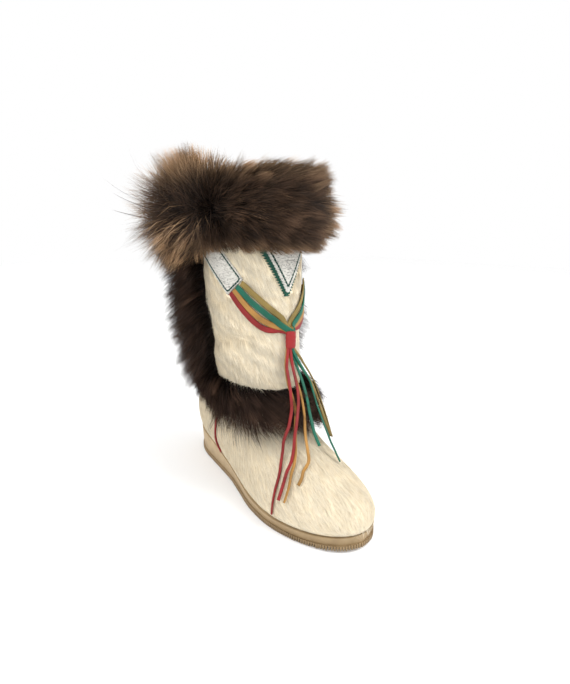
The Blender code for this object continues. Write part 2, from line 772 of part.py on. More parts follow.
def strap(points, normals, width, thickness):
    """Sections of a flat thong along points, flat side towards the normals."""
    sections = []
    for index, point in enumerate(points):
        before = points[max(index - 1, 0)]
        after = points[min(index + 1, len(points) - 1)]
        across = (after - before).cross(normals[index]).normalized()
        facing = normals[index].normalized()
        sections.append([
            point + across * (width * 0.5 * x) + facing * (thickness * 0.5 * z)
            for x, z in ((-1.0, -1.0), (1.0, -1.0), (1.0, 1.0), (-1.0, 1.0))
        ])
    return sections


def route_points(route, count):
    """Smooth points and normals along (around, up, lift) places."""
    knots = np.arange(len(route), dtype=float)
    columns = [[place[axis] for place in route] for axis in range(3)]
    points = []
    normals = []
    for step in range(count):
        at = (len(route) - 1) * step / (count - 1)
        around, up, lift = (smooth_lookup(knots, column, at) for column in columns)
        points.append(skin(around, up, lift))
        normals.append(skin(around, up, lift + 0.001) - points[-1])
    return points, normals


def make_thong(colour, side, name, collection):
    """One thong from a tab to the top of the wrap."""
    layers = (
        CLEARANCE + 0.5 * THONG_THICKNESS,
        2.0 * CLEARANCE + 1.5 * THONG_THICKNESS,
    )
    route = [(side * around, up, layers[layer]) for around, up, layer in THONG_ROUTES[colour]]
    points, normals = route_points(route, THONG_SECTIONS)
    vertices, faces = loft(strap(points, normals, THONG_WIDTH, THONG_THICKNESS))
    return new_object(name, vertices, faces, colour + "_leather", collection)


def make_tassel(collection):
    """Red wrap with the hanging ends fused to it."""
    around, up = WRAP_PLACE
    centre = skin(around, up, CLEARANCE + 0.5 * WRAP_DEPTH)
    bpy.ops.mesh.primitive_cylinder_add(
        vertices=WRAP_SIDES, radius=0.5, depth=WRAP_HEIGHT, location=centre
    )
    wrap = bpy.context.object
    wrap.name = "tassel"
    wrap.scale = (WRAP_WIDTH, WRAP_DEPTH, 1.0)
    bpy.ops.object.transform_apply(location=False, rotation=False, scale=True)
    wrap.data.materials.append(finish("red_leather"))
    for group in list(wrap.users_collection):
        group.objects.unlink(wrap)
    collection.objects.link(wrap)
    cutters = bpy.data.collections.new("strands_to_join")
    bpy.context.scene.collection.children.link(cutters)
    for strand, route in STRAND_ROUTES.items():
        points, normals = route_points(route, 2 * len(route) - 1)
        vertices, faces = loft(strap(points, normals, STRAND_WIDTH, THONG_THICKNESS))
        piece = new_object("strand_" + strand, vertices, faces, strand.split("_")[0] + "_leather", cutters)
        piece.hide_render = True
        piece.display_type = "WIRE"
        join = wrap.modifiers.new(strand, "BOOLEAN")
        join.operation = "UNION"
        join.object = piece
    return wrap


def make_piping(side, name, collection):
    """Raised seam at one side of the heel."""
    lift = 2.0 * CLEARANCE + 0.5 * PIPING_RISE
    route = [(side * around, up, lift) for around, up in PIPING_ROUTE]
    points, normals = route_points(route, PIPING_SECTIONS)
    vertices, faces = loft(strap(points, normals, PIPING_WIDTH, PIPING_RISE))
    return new_object(name, vertices, faces, "red_leather", collection)


def centre_on_floor(collection):
    """Move all so that the origin is the middle of the box's bottom."""
    bpy.context.view_layer.update()
    corners = [
        item.matrix_world @ Vector(corner)
        for item in collection.objects
        for corner in item.bound_box
    ]
    shift = Vector((
        0.5 * (min(c.x for c in corners) + max(c.x for c in corners)),
        0.5 * (min(c.y for c in corners) + max(c.y for c in corners)),
        min(c.z for c in corners),
    ))
    for item in bpy.data.objects:
        item.location -= shift


def build():
    """Make every piece."""
    clear_scene()
    boot = bpy.data.collections.new("apres_ski_boot")
    bpy.context.scene.collection.children.link(boot)
    make_outsole(boot)
    make_insole(boot)
    make_upper(boot)
    make_fur_cuff(boot)
    make_ankle_fur(boot)
    make_back_fur(boot)
    make_v_trim(boot)
    for side, place in ((1.0, "lateral"), (-1.0, "medial")):
        sheet_form("tab_" + place, tab_rows(side), CLEARANCE, CLEARANCE + LEATHER, "white_leather", boot)
        make_piping(side, "piping_" + place, boot)
        for colour in THONG_ROUTES:
            make_thong(colour, side, "thong_" + colour + "_" + place, boot)
    make_tassel(boot)
    centre_on_floor(boot)


build()
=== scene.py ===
"""Looks of the apres-ski boot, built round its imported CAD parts.

Row frame: toe towards -Y, heel towards +Y, medial side +X, up +Z, sizes in metres.
around is an angle in degrees round the shaft: 0 at the front, negative on the lateral side.
"""

import math

import bmesh
import bpy
import numpy as np
from mathutils import Matrix, Vector
from mathutils.bvhtree import BVHTree
from mathutils.kdtree import KDTree


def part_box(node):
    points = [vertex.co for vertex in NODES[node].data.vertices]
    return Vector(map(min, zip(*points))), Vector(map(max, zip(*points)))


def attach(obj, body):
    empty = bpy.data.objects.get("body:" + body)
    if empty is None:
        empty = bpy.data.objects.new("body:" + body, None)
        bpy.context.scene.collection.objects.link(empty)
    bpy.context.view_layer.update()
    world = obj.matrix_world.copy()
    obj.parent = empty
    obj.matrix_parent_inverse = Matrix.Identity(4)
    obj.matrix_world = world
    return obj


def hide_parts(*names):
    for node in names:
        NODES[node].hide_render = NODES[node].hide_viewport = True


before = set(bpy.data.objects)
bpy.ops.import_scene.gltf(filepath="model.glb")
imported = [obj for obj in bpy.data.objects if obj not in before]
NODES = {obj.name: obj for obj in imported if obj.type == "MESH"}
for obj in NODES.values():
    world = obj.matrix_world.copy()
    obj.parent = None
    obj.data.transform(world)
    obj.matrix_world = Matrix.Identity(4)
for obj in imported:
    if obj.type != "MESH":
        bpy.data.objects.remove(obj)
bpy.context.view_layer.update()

# Places taken from the CAD parts
SOLE_LOW, SOLE_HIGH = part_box("outsole")
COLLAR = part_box("upper")[1].z
SOLE_MIDDLE = 0.5 * (SOLE_LOW.x + SOLE_HIGH.x)

# Camera, fitted to the photograph
CAMERA_SIDEWAYS = -0.23687
CAMERA_FROM_HEEL = 0.505
CAMERA_HEIGHT = 0.251
CAMERA_YAW = 34.4
CAMERA_PITCH = 13.1
CAMERA_ROLL = 0.7
LENS = 24.16
SENSOR = 36.0
FLOOR_SIZE = 8.0
FLOOR_GLOW = 0.06
CLIP_START = 0.01

# Lamps: name, place, size in metres and power in watts
LAMPS = (
    ("key", (0.75, -0.95, 1.25), 0.9, 21.0),
    ("fill", (-1.1, -0.5, 0.9), 1.0, 10.0),
)
LAMPS_AIM = (0.0, 0.0, 0.12)

# Fur: where it stands on the shaft and how far its hair reaches
CUFF_LOW = 0.247
CUFF_HIGH = COLLAR - 0.0028
CUFF_REACH_FRONT = 0.045
CUFF_REACH_BACK = 0.077
CUFF_TOP = 0.3270
CUFF_BOTTOM = 0.2330
CUFF_SIDES = (-0.1090, 0.1060, 0.1860)  # lateral, medial and back limit
CUFF_PARTING = 0.52
BAND_TOP_FRONT = 0.109
BAND_TOP_BACK = 0.121
BAND_WIDTH_FRONT = 0.026
BAND_WIDTH_BACK = 0.031
BAND_REACH = 0.038
BAND_PRESSED = (-27.0, 42.0)
BAND_PRESSED_EASE = 8.0
STRIP_REACH = 0.036

# How flat the cuff's two pieces of hair lie on the side that faces the camera
CUFF_LAID = (0.55, 1.0)

# Angles over which the cuff's combing to the medial side starts, lessens and ends
COMBED_STARTS = (-84.0, -62.0)
COMBED_LESSENS = (45.0, 100.0)
COMBED_ENDS = (130.0, 175.0)

# Zones of the cuff's hair, as the angle of the middle and half the width
HANGING_ZONE = (-98.0, 52.0)
TAIL_ZONE = (-132.0, 30.0)
PHOTO_ZONE = (-70.0, 66.0)
GOLDEN_ZONE = (-98.0, 42.0)
CORNER_LIGHT_ZONE = (-125.0, 55.0)
LOW_ZONE = (-124.0, 52.0)
LOW_ZONE_DROP = 0.024
HIGH_ZONE = (62.0, 60.0)
HIGH_ZONE_RISE = 0.014

# Where the cuff's top is higher or lower than CUFF_TOP: angle, half width and how much higher
CUFF_TOPS = (
    (-145.0, 42.0, -0.020),
    (-92.0, 26.0, 0.009),
    (30.0, 40.0, 0.007),
    (68.0, 40.0, -0.010),
)

UP = np.array([0.0, 0.0, 1.0])
STRIP_EDGE_LOW = 74.0
STRIP_EDGE_HIGH = 84.0
STRIP_EDGE_SPAN = (0.165, 0.200)

# Soft creases of the shaft; half_length and half_width in metres, tilt in degrees, depth outwards
CREASE_COLUMNS = ("around", "height", "half_length", "half_width", "tilt", "depth")
CREASES = (
    (-58.0, 0.1400, 0.030, 0.0060, 14.0, 0.0021),
    (-56.0, 0.1540, 0.032, 0.0065, 18.0, -0.0020),
    (-52.0, 0.1690, 0.030, 0.0070, 12.0, 0.0020),
    (-70.0, 0.1900, 0.026, 0.0070, -28.0, -0.0018),
    (-30.0, 0.1500, 0.026, 0.0065, -16.0, -0.0018),
    (-36.0, 0.2150, 0.022, 0.0060, -50.0, -0.0014),
    (48.0, 0.1550, 0.032, 0.0065, -16.0, -0.0020),
    (50.0, 0.1700, 0.030, 0.0070, -12.0, 0.0018),
)

# Rays at the hide: how far off it they start, how far they look, and a distance outside the boot
RAY_GAP = 0.0005
RAY_REACH = 0.2
OUTSIDE = 0.3
MERGE_DISTANCE = 2e-6

# Materials of the hide's faces, by index, and how far fur covers the hide inside its edges
HIDE_LOOKS = ("hide", "lining", "underfur")
FUR_INSET = 0.004
CUFF_INSET = 0.010

# Share of a hair's light that shines through it
TRANSLUCENT_SHARE = 0.30

# Short hair of the hide
HIDE_HAIR_LENGTH = 0.0100
TOE_HAIR_GAIN = 0.003
SHAFT_HAIR_GAIN = 0.003
BAND_SHADE = 0.55
HIDE_HAIR_LIFTS = (0.0, 0.0009, 0.0011)
HAIR_FREE_GAP = 0.006
HAIR_OVER_SOLE = 0.0032
HAIR_FROM_PATCH = 0.0016

# Where the foot passes into the shaft, for the hair's flow and for its looks, in height
FLOW_SPAN = (0.075, 0.115)
SHAFT_SPAN = (0.095, 0.125)

# Where the toe ends, behind the sole's tip, and how far the shade of the band reaches under it
TOE_SPAN = (0.05, 0.13)
SHADE_SPAN = (0.006, 0.030)

# Leather strips; THONG_RISE lifts each colour's thong so that they lie over one another
THONG_WIDTH = 0.0055
STRAND_WIDTH = 0.0029
THONG_THICKNESS = 0.0014
THONG_GAP = 0.0026
THONG_RISE = {"red": 0.0, "gold": 0.0006, "green": 0.0014, "olive": 0.0004}
STRAND_COLOURS = ("red", "red", "gold", "gold", "green", "green", "olive", "olive")
STRAND_TWISTS = (0.5, -0.4, 0.6, -0.7, 0.4, -0.5, 0.8, -0.6)
STRAND_SHIFTS = (0.0, -0.0015, -0.0045, -0.0045, -0.002, 0.0, 0.0, 0.0)
STRIP_SECTION = (
    (-1.0, 0.0), (-0.92, -0.7), (-0.6, -1.0), (0.6, -1.0), (0.92, -0.7),
    (1.0, 0.0), (0.92, 0.7), (0.6, 1.0), (-0.6, 1.0), (-0.92, 0.7),
)
STRIP_STEP = 0.002
THONG_STEP = 0.004
THONG_SECTION = 0.0026
STRAND_SECTION = 0.0033
WRAP_WIDTH = 0.0102
WRAP_DEPTH = 0.0072
WRAP_HEIGHT = 0.0160
WRAP_GAP = 0.0012
WRAP_TURNS = 4
WRAP_STEPS = 48
WRAP_SIDES = 20

# Hairs in a lock, and how far they are drawn together
CUFF_LOCK = (34, 0.85)
DARK_LOCK = (30, 0.85)
HIDE_LOCK = (9, 0.55)

# How much a blade is lit like the surface that it stands on
FUR_SOFTNESS = 0.45
HIDE_SOFTNESS = 0.7
WISP_SOFTNESS = 0.3

# Points along a hair
FUR_STATIONS = 4
HIDE_STATIONS = 3
WISP_STATIONS = 9

# Seeds of the random draws
SEEDS = {"cuff": 31, "wisps": 7, "band": 42, "strip": 44, "hide": 61}

# Hair counts and blade widths
CUFF_HAIRS = 32000
BAND_HAIRS = 26000
STRIP_HAIRS = 20000
HIDE_HAIRS = 57000
CUFF_HAIR_WIDTH = 0.00052
DARK_HAIR_WIDTH = 0.00040
HIDE_HAIR_WIDTH = 0.00034

# Single long hairs that stand out of the cuff
WISP_WIDTH = 0.0021
WISP_COLUMNS = ("around", "height", "length", "outward", "upward", "sideways")
WISPS = (
    (-120.0, 0.290, 0.098, 0.25, 1.60, -0.10),
    (-116.0, 0.288, 0.084, 0.35, 1.40, 0.10),
    (-134.0, 0.276, 0.118, 1.00, 0.85, -0.30),
    (-132.0, 0.272, 0.110, 1.00, 0.60, -0.35),
    (-133.0, 0.264, 0.104, 1.00, 0.30, -0.30),
    (-127.0, 0.256, 0.092, 1.00, -0.70, -0.10),
)

# White leather: middle line of a tab and half its size, and the V with its underlay
TAB_FROM = (78.0, 0.2407)
TAB_TO = (50.0, 0.2037)
TAB_HALF = (7.2, 0.0078)
V_TOP = 0.2450
V_DROP = 0.045
V_HALF_WIDTH = 0.021
UNDERLAY_MARGIN = 0.0036
PATCH_LIFT = 0.0017
PINK_PITCH = 0.0024
PINK_DEPTH = 0.0006
STITCH_INSET = 0.0023
STITCH_LENGTH = 0.0030
STITCH_PITCH = 0.0033
STITCH_WIDTH = 0.0016
STITCH_RISE = 0.45
STITCH_RIDGE = 0.15
SHARP_ANGLE = 50.0

# Fine tread round the sole's lower edge
TREAD_LEVEL = 0.0050
TOOTH_PITCH = 0.0023
TOOTH_SIZE = (0.0014, 0.0028, 0.0042)
TOOTH_CORNERS = ((-0.5, -0.6), (0.5, -0.6), (0.5, 0.45), (-0.5, 0.45))
TOOTH_FACES = ((0, 1, 2, 3), (7, 6, 5, 4), (0, 4, 5, 1), (1, 5, 6, 2), (2, 6, 7, 3), (3, 7, 4, 0))
RIB_PITCH = 0.0125


def unit(vectors):
    """Vectors scaled to length 1 along the last axis."""
    vectors = np.asarray(vectors, dtype=float)
    return vectors / np.maximum(np.linalg.norm(vectors, axis=-1, keepdims=True), 1e-12)


def smooth_step(low, high, value):
    """0 below low, 1 above high, smooth between."""
    share = np.clip((np.asarray(value, dtype=float) - low) / (high - low), 0.0, 1.0)
    return share * share * (3.0 - 2.0 * share)


def plateau(value, low, foot, shoulder, high):
    """0 below low and above high, 1 from foot to shoulder."""
    return smooth_step(low, foot, value) * (1.0 - smooth_step(shoulder, high, value))


def coordinates(vertices):
    """Places of vertices as an array."""
    return np.array([vertex.co for vertex in vertices])


def back_share(around):
    """0 at the front of the shaft, 1 at its back."""
    return (1.0 - np.cos(np.radians(around))) * 0.5


def new_mesh(name, points, faces):
    """Mesh of points and faces."""
    mesh = bpy.data.meshes.new(name)
    mesh.from_pydata([tuple(point) for point in points], [], faces)
    return mesh


def place_mesh(name, mesh, material=None):
    """Object for a mesh, in the scene."""
    if material:
        mesh.materials.append(material)
    item = bpy.data.objects.new(name, mesh)
    bpy.context.scene.collection.objects.link(item)
    return item


def merged_mesh(mesh):
    """Sketch of a mesh with its split vertices joined."""
    sketch = bmesh.new()
    sketch.from_mesh(mesh)
    bmesh.ops.remove_doubles(sketch, verts=sketch.verts, dist=MERGE_DISTANCE)
    return sketch


def turn_faces_out(mesh):
    """Make the faces of a closed mesh look outwards."""
    sketch = bmesh.new()
    sketch.from_mesh(mesh)
    bmesh.ops.recalc_face_normals(sketch, faces=sketch.faces)
    sketch.to_mesh(mesh)
    sketch.free()


def merged_copy(node, name, levels=0):
    """Copy of a CAD part with its split vertices joined, subdivided if asked."""
    mesh = NODES[node].data.copy()
    mesh.materials.clear()
    sketch = merged_mesh(mesh)
    bmesh.ops.join_triangles(
        sketch, faces=sketch.faces, angle_face_threshold=0.6, angle_shape_threshold=0.9
    )
    sketch.to_mesh(mesh)
    sketch.free()
    item = place_mesh(name, mesh)
    if levels:
        divide = item.modifiers.new("smooth", "SUBSURF")
        divide.levels = levels
        divide.render_levels = levels
        graph = bpy.context.evaluated_depsgraph_get()
        finer = bpy.data.meshes.new_from_object(item.evaluated_get(graph))
        item.modifiers.clear()
        item.data = finer
    item.data.shade_smooth()
    return item


def add(item, *nodes, slot=None):
    """Put a piece on the boot in place of CAD parts."""
    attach(item, "root")
    if nodes:
        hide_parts(*nodes)
    return item


def mesh_arrays(mesh):
    """Face centres, normals and areas as arrays."""
    count = len(mesh.polygons)
    centres = np.empty(count * 3)
    normals = np.empty(count * 3)
    areas = np.empty(count)
    mesh.polygons.foreach_get("center", centres)
    mesh.polygons.foreach_get("normal", normals)
    mesh.polygons.foreach_get("area", areas)
    return centres.reshape(-1, 3), normals.reshape(-1, 3), areas


# Materials


def new_material(name, **settings):
    """Node material, with the inputs of its Principled shader set by name."""
    material = bpy.data.materials.new(name)
    material.use_nodes = True
    tree = material.node_tree
    shader = tree.nodes["Principled BSDF"]
    for key, value in settings.items():
        shader.inputs[key.replace("_", " ")].default_value = value
    return material, tree, shader


def object_place(tree):
    """Place on the object as texture coordinate."""
    return tree.nodes.new("ShaderNodeTexCoord").outputs["Object"]


def add_node(tree, kind, **settings):
    """A shader node with inputs or properties set by name."""
    node = tree.nodes.new(kind)
    for key, value in settings.items():
        if key in node.inputs:
            node.inputs[key].default_value = value
        else:
            setattr(node, key, value)
    return node


def noise(tree, place, **settings):
    """Noise texture over a place."""
    node = add_node(tree, "ShaderNodeTexNoise", **settings)
    tree.links.new(place, node.inputs["Vector"])
    return node.outputs["Fac"]


def add_bump(tree, shader, height, strength, depth):
    """Bump of a shader by a height in metres."""
    bump = add_node(tree, "ShaderNodeBump", Strength=strength, Distance=depth)
    tree.links.new(height, bump.inputs["Height"])
    tree.links.new(bump.outputs["Normal"], shader.inputs["Normal"])


def between(tree, value, low, high):
    """0 where a value is low, 1 where it is high."""
    node = add_node(tree, "ShaderNodeMapRange")
    node.inputs["From Min"].default_value = low
    node.inputs["From Max"].default_value = high
    tree.links.new(value, node.inputs["Value"])
    return node.outputs["Result"]


def ramp(tree, factor, stops):
    """Colour ramp over a factor."""
    node = tree.nodes.new("ShaderNodeValToRGB")
    bands = node.color_ramp
    while len(bands.elements) < len(stops):
        bands.elements.new(0.5)
    for element, (place, colour) in zip(bands.elements, stops):
        element.position = place
        element.color = (*colour, 1.0)
    tree.links.new(factor, node.inputs["Fac"])
    return node.outputs["Color"]


def mix(tree, mode, factor, first, second):
    """Colour mix of two sockets or colours."""
    node = tree.nodes.new("ShaderNodeMix")
    node.data_type = "RGBA"
    node.blend_type = mode
    sockets = (node.inputs[0], node.inputs[6], node.inputs[7])
    for socket, value in zip(sockets, (factor, first, second)):
        if isinstance(value, bpy.types.NodeSocket):
            tree.links.new(value, socket)
        elif isinstance(value, tuple):
            socket.default_value = (*value, 1.0)
        else:
            socket.default_value = value
    return node.outputs[2]


def hair_material(name, root, body, tip, glow, roughness=0.55, tone_low=0.55, tone_high=1.45,
                  shine=0.35):
    """Hair that runs from root to tip colour, each hair lighter or darker by its tone."""
    material, tree, shader = new_material(name, Roughness=roughness, Specular_IOR_Level=shine)
    attribute = add_node(tree, "ShaderNodeAttribute", attribute_name="hair")
    parts = tree.nodes.new("ShaderNodeSeparateColor")
    tree.links.new(attribute.outputs["Color"], parts.inputs["Color"])
    length_colour = ramp(tree, parts.outputs["Red"], ((0.0, root), (0.45, body), (1.0, tip)))
    # The blue share of the hair attribute turns a hair towards the glow colour: painted rim light and
    # shine on the cuff, painted highlight streaks on the dark fur, painted shadow streaks on the short
    # hide hair.
    light_colour = ramp(tree, parts.outputs["Red"], ((0.0, body), (0.35, tip), (0.75, glow)))
    colour = mix(tree, "MIX", parts.outputs["Blue"], length_colour, light_colour)
    tones = ramp(tree, parts.outputs["Green"], ((0.0, (tone_low,) * 3), (1.0, (tone_high,) * 3)))
    colour = mix(tree, "MULTIPLY", 1.0, colour, tones)
    tree.links.new(colour, shader.inputs["Base Color"])
    through = tree.nodes.new("ShaderNodeBsdfTranslucent")
    tree.links.new(colour, through.inputs["Color"])
    both = add_node(tree, "ShaderNodeMixShader", Fac=TRANSLUCENT_SHARE)
    tree.links.new(shader.outputs["BSDF"], both.inputs[1])
    tree.links.new(through.outputs["BSDF"], both.inputs[2])
    tree.links.new(both.outputs["Shader"], tree.nodes["Material Output"].inputs["Surface"])
    return material


def plain_material(name, colour, roughness, bump_scale=0.0, bump_depth=0.0, spread=0.12):
    """Surface with a little mottling and a fine grain."""
    material, tree, shader = new_material(name, Roughness=roughness, Specular_IOR_Level=0.2)
    place = object_place(tree)
    mottle = noise(tree, place, Scale=60.0, Detail=4.0)
    dark = tuple(channel * (1.0 - spread) for channel in colour)
    light = tuple(min(1.0, channel * (1.0 + spread)) for channel in colour)
    tree.links.new(ramp(tree, mottle, ((0.3, dark), (0.7, light))), shader.inputs["Base Color"])
    if bump_depth:
        add_bump(tree, shader, noise(tree, place, Scale=bump_scale, Detail=5.0), 0.6, bump_depth)
    return material


def leather_material(name, light, crease):
    """Crinkled leather: fine level wrinkles, with painted shade that darkens them where they fold."""
    material, tree, shader = new_material(name, Roughness=0.36)
    stretch = add_node(tree, "ShaderNodeMapping", Scale=(1.0, 1.0, 3.0))
    tree.links.new(object_place(tree), stretch.inputs["Vector"])
    folds = noise(
        tree, stretch.outputs["Vector"], Scale=130.0, Detail=6.0, Roughness=0.62, Distortion=2.6
    )
    # Painted shade: the crease colour fills the low parts of the folds
    shades = ramp(tree, folds, ((0.34, crease), (0.50, light), (0.80, light)))
    tree.links.new(shades, shader.inputs["Base Color"])
    add_bump(tree, shader, folds, 1.0, 0.0022)
    return material


def rubber_material():
    """Tan crepe sole, darker towards the floor and at the toe."""
    material, tree, shader = new_material("rubber", Roughness=0.62)
    place = object_place(tree)
    parts = tree.nodes.new("ShaderNodeSeparateXYZ")
    tree.links.new(place, parts.inputs["Vector"])
    shade = ramp(
        tree, between(tree, parts.outputs["Z"], 0.0, 0.016),
        ((0.0, (0.20, 0.135, 0.068)), (0.30, (0.36, 0.255, 0.140)), (1.0, (0.47, 0.350, 0.205))),
    )
    mottle = noise(tree, place, Scale=90.0, Detail=6.0)
    stains = ramp(tree, mottle, ((0.3, (0.82, 0.80, 0.77)), (0.65, (1.0, 1.0, 1.0))))
    shade = mix(tree, "MULTIPLY", 1.0, shade, stains)
    toe = between(tree, parts.outputs["Y"], SOLE_LOW.y + 0.02, SOLE_LOW.y + 0.11)
    # Darker towards the tip of the toe
    toe_darkening = ramp(tree, toe, ((0.0, (0.74, 0.71, 0.64)), (1.0, (1.0, 1.0, 1.0))))
    tree.links.new(mix(tree, "MULTIPLY", 1.0, shade, toe_darkening), shader.inputs["Base Color"])
    add_bump(tree, shader, noise(tree, place, Scale=1300.0, Detail=4.0), 0.6, 0.0003)
    return material


STRIP_COLOURS = {
    "red": (0.20, 0.016, 0.016),
    "gold": (0.30, 0.155, 0.040),
    "green": (0.010, 0.095, 0.058),
    "olive": (0.19, 0.135, 0.040),
}
MATERIALS = {
    "hide": plain_material("hide_skin", (0.74, 0.65, 0.49), 0.8, 900.0, 0.0006),
    "lining": plain_material("lining", (0.62, 0.55, 0.44), 0.9, 700.0, 0.0015, 0.2),
    "rubber": rubber_material(),
    "insole": plain_material("insole", (0.50, 0.43, 0.34), 0.9, 900.0, 0.0006),
    "underfur": plain_material("underfur", (0.018, 0.011, 0.008), 0.95, 500.0, 0.002, 0.4),
    "white_leather": leather_material("white_leather", (0.66, 0.64, 0.585), (0.16, 0.155, 0.14)),
    "underlay": plain_material("underlay_leather", (0.007, 0.058, 0.038), 0.5, 1500.0, 0.0002),
    "thread": plain_material("green_thread", (0.004, 0.036, 0.026), 0.7),
    "wrap": plain_material("wrap_leather", (0.25, 0.018, 0.018), 0.45, 900.0, 0.0003),
    **{
        colour: plain_material(colour + "_leather", shade, 0.5, 1500.0, 0.0002, 0.25)
        for colour, shade in STRIP_COLOURS.items()
    },
    # glow of the short hair is the dark colour of its painted shadow streaks
    "hide_hair": hair_material(
        "hide_hair", root=(0.72, 0.62, 0.45), body=(0.88, 0.79, 0.605), tip=(0.96, 0.90, 0.76),
        glow=(0.40, 0.30, 0.18), roughness=0.45, tone_low=0.70, tone_high=1.14,
    ),
    # glow of the cuff is the colour of its painted rim light and shine
    "cuff_hair": hair_material(
        "cuff_hair", root=(0.006, 0.004, 0.003), body=(0.020, 0.012, 0.0085), tip=(0.112, 0.064, 0.038),
        glow=(0.60, 0.39, 0.22), tone_low=0.30, tone_high=1.85, shine=0.25,
    ),
    # glow of the dark fur is the colour of its painted highlight streaks
    "dark_hair": hair_material(
        "dark_hair", root=(0.006, 0.0035, 0.0026), body=(0.021, 0.0115, 0.0080), tip=(0.078, 0.043, 0.029),
        glow=(0.17, 0.10, 0.065), tone_low=0.45, tone_high=1.45, shine=0.15,
    ),
}


# Skin of the boot


def shaft_middle():
    """Axis of the shaft and its half sizes, from the upper's vertices near the collar."""
    high = coordinates(v for v in NODES["upper"].data.vertices if v.co.z > 0.95 * COLLAR)
    low, top = high.min(axis=0), high.max(axis=0)
    return 0.5 * (low + top)[:2], 0.5 * (top - low)[:2]


AXIS, SHAFT_HALF = shaft_middle()


def direction_at(around):
    """Level direction from the shaft's axis."""
    angle = np.radians(around)
    return unit(np.stack([SHAFT_HALF[0] * np.sin(angle), -SHAFT_HALF[1] * np.cos(angle)], axis=-1))


def around_of(points):
    """Angle round the shaft of points."""
    x = (points[..., 0] - AXIS[0]) / SHAFT_HALF[0]
    y = (points[..., 1] - AXIS[1]) / SHAFT_HALF[1]
    return np.degrees(np.arctan2(x, -y))


def search_tree(mesh):
    """Tree for finding places on a mesh."""
    return BVHTree.FromPolygons([v.co for v in mesh.vertices], [tuple(p.vertices) for p in mesh.polygons])


def band_edges(around):
    """Lower and upper height of the ankle fur."""
    back = back_share(around)
    top = BAND_TOP_FRONT + (BAND_TOP_BACK - BAND_TOP_FRONT) * back
    width = BAND_WIDTH_FRONT + (BAND_WIDTH_BACK - BAND_WIDTH_FRONT) * back
    return top - width, top


def strip_edge(height):
    """Angle of the back strip's front edge."""
    return STRIP_EDGE_LOW + (STRIP_EDGE_HIGH - STRIP_EDGE_LOW) * smooth_step(*STRIP_EDGE_SPAN, height)


def under_fur(points):
    """Which points of the hide lie under the cuff, the ankle band or the back strip."""
    around = around_of(points)
    height = points[:, 2]
    low, high = band_edges(around)
    band = (height > low + FUR_INSET) & (height < high - FUR_INSET)
    strip = (np.abs(around) > strip_edge(height) + 1.0) & (height > high - FUR_INSET)
    return band | strip | (height > CUFF_LOW + CUFF_INSET)


def crease_depth(points):
    """How far the creases move points of the shaft outwards."""
    around = around_of(points)
    total = np.zeros(len(points))
    for row in CREASES:
        crease = dict(zip(CREASE_COLUMNS, row))
        tilt = math.radians(crease["tilt"])
        sideways = np.radians(around - crease["around"]) * SHAFT_HALF.mean()
        upwards = points[:, 2] - crease["height"]
        along = (sideways * math.cos(tilt) + upwards * math.sin(tilt)) / crease["half_length"]
        across = (upwards * math.cos(tilt) - sideways * math.sin(tilt)) / crease["half_width"]
        total += crease["depth"] * np.exp(-along ** 2 - across ** 2)
    return total


def faces_open_air(tree, place, outward):
    """Whether a ray from a place on the hide meets no more of it."""
    return tree.ray_cast(place + outward * RAY_GAP, outward, RAY_REACH)[0] is None


def press_creases(mesh):
    """Work the creases into the hide's outer side."""
    tree = search_tree(mesh)
    points = coordinates(mesh.vertices)
    normals = np.array([vertex.normal for vertex in mesh.vertices])
    depth = crease_depth(points)
    for index in np.flatnonzero(np.abs(depth) > 0.00005):
        outward = Vector(normals[index])
        if faces_open_air(tree, Vector(points[index]), outward):
            mesh.vertices[index].co += outward * depth[index]


def make_hide():
    """Smooth skin and lining of the upper, dark where fur covers it."""
    item = merged_copy("upper", "hide", levels=2)
    for look in HIDE_LOOKS:
        item.data.materials.append(MATERIALS[look])
    press_creases(item.data)
    tree = search_tree(item.data)
    covered = under_fur(mesh_arrays(item.data)[0])
    for polygon, dark in zip(item.data.polygons, covered):
        if not faces_open_air(tree, polygon.center, polygon.normal):
            polygon.material_index = HIDE_LOOKS.index("lining")
        elif dark:
            polygon.material_index = HIDE_LOOKS.index("underfur")
    add(item, "upper", slot="hide")
    return item, tree


HIDE, HIDE_TREE = make_hide()
PATCHES = ("tab_lateral", "tab_medial", "v_patch", "v_underlay")
PATCH_TREES = [search_tree(NODES[node].data) for node in PATCHES]
SOLE_TREE = search_tree(NODES["outsole"].data)


def skin(around, height):
    """Points and normals of the hide at angles and heights, from level rays."""
    flat = direction_at(np.asarray(around, dtype=float))
    points = np.empty((len(flat), 3))
    normals = np.empty((len(flat), 3))
    for index, (aim, level) in enumerate(zip(flat, height)):
        start = Vector((AXIS[0] + aim[0] * OUTSIDE, AXIS[1] + aim[1] * OUTSIDE, level))
        place, normal, _, _ = HIDE_TREE.ray_cast(start, Vector((-aim[0], -aim[1], 0.0)))
        points[index] = place
        normals[index] = normal
    return points, normals


def level_skin(around, height):
    """Points of the hide and their level normals."""
    points, normals = skin(around, height)
    normals[:, 2] = 0.0
    return points, unit(normals)


def tangents(normals):
    """Level tangents, towards growing angles."""
    return unit(np.cross(normals, np.array([0.0, 0.0, -1.0])))


# Hair


def aimed(normals, outward, upward, sideways):
    """Directions off the skin, by their outward, upward and sideways parts."""
    return (
        normals * outward[:, None] + UP * upward[:, None] + tangents(normals) * sideways[:, None]
    )


def curved_paths(roots, first, last, lengths, stations):
    """Paths that leave each root along first and end up along last."""
    share = np.linspace(0.0, 1.0, stations)[None, :, None]
    first = first[:, None, :]
    last = last[:, None, :]
    steps = first * share + (last - first) * share * share * 0.5
    return roots[:, None, :] + steps * lengths[:, None, None]


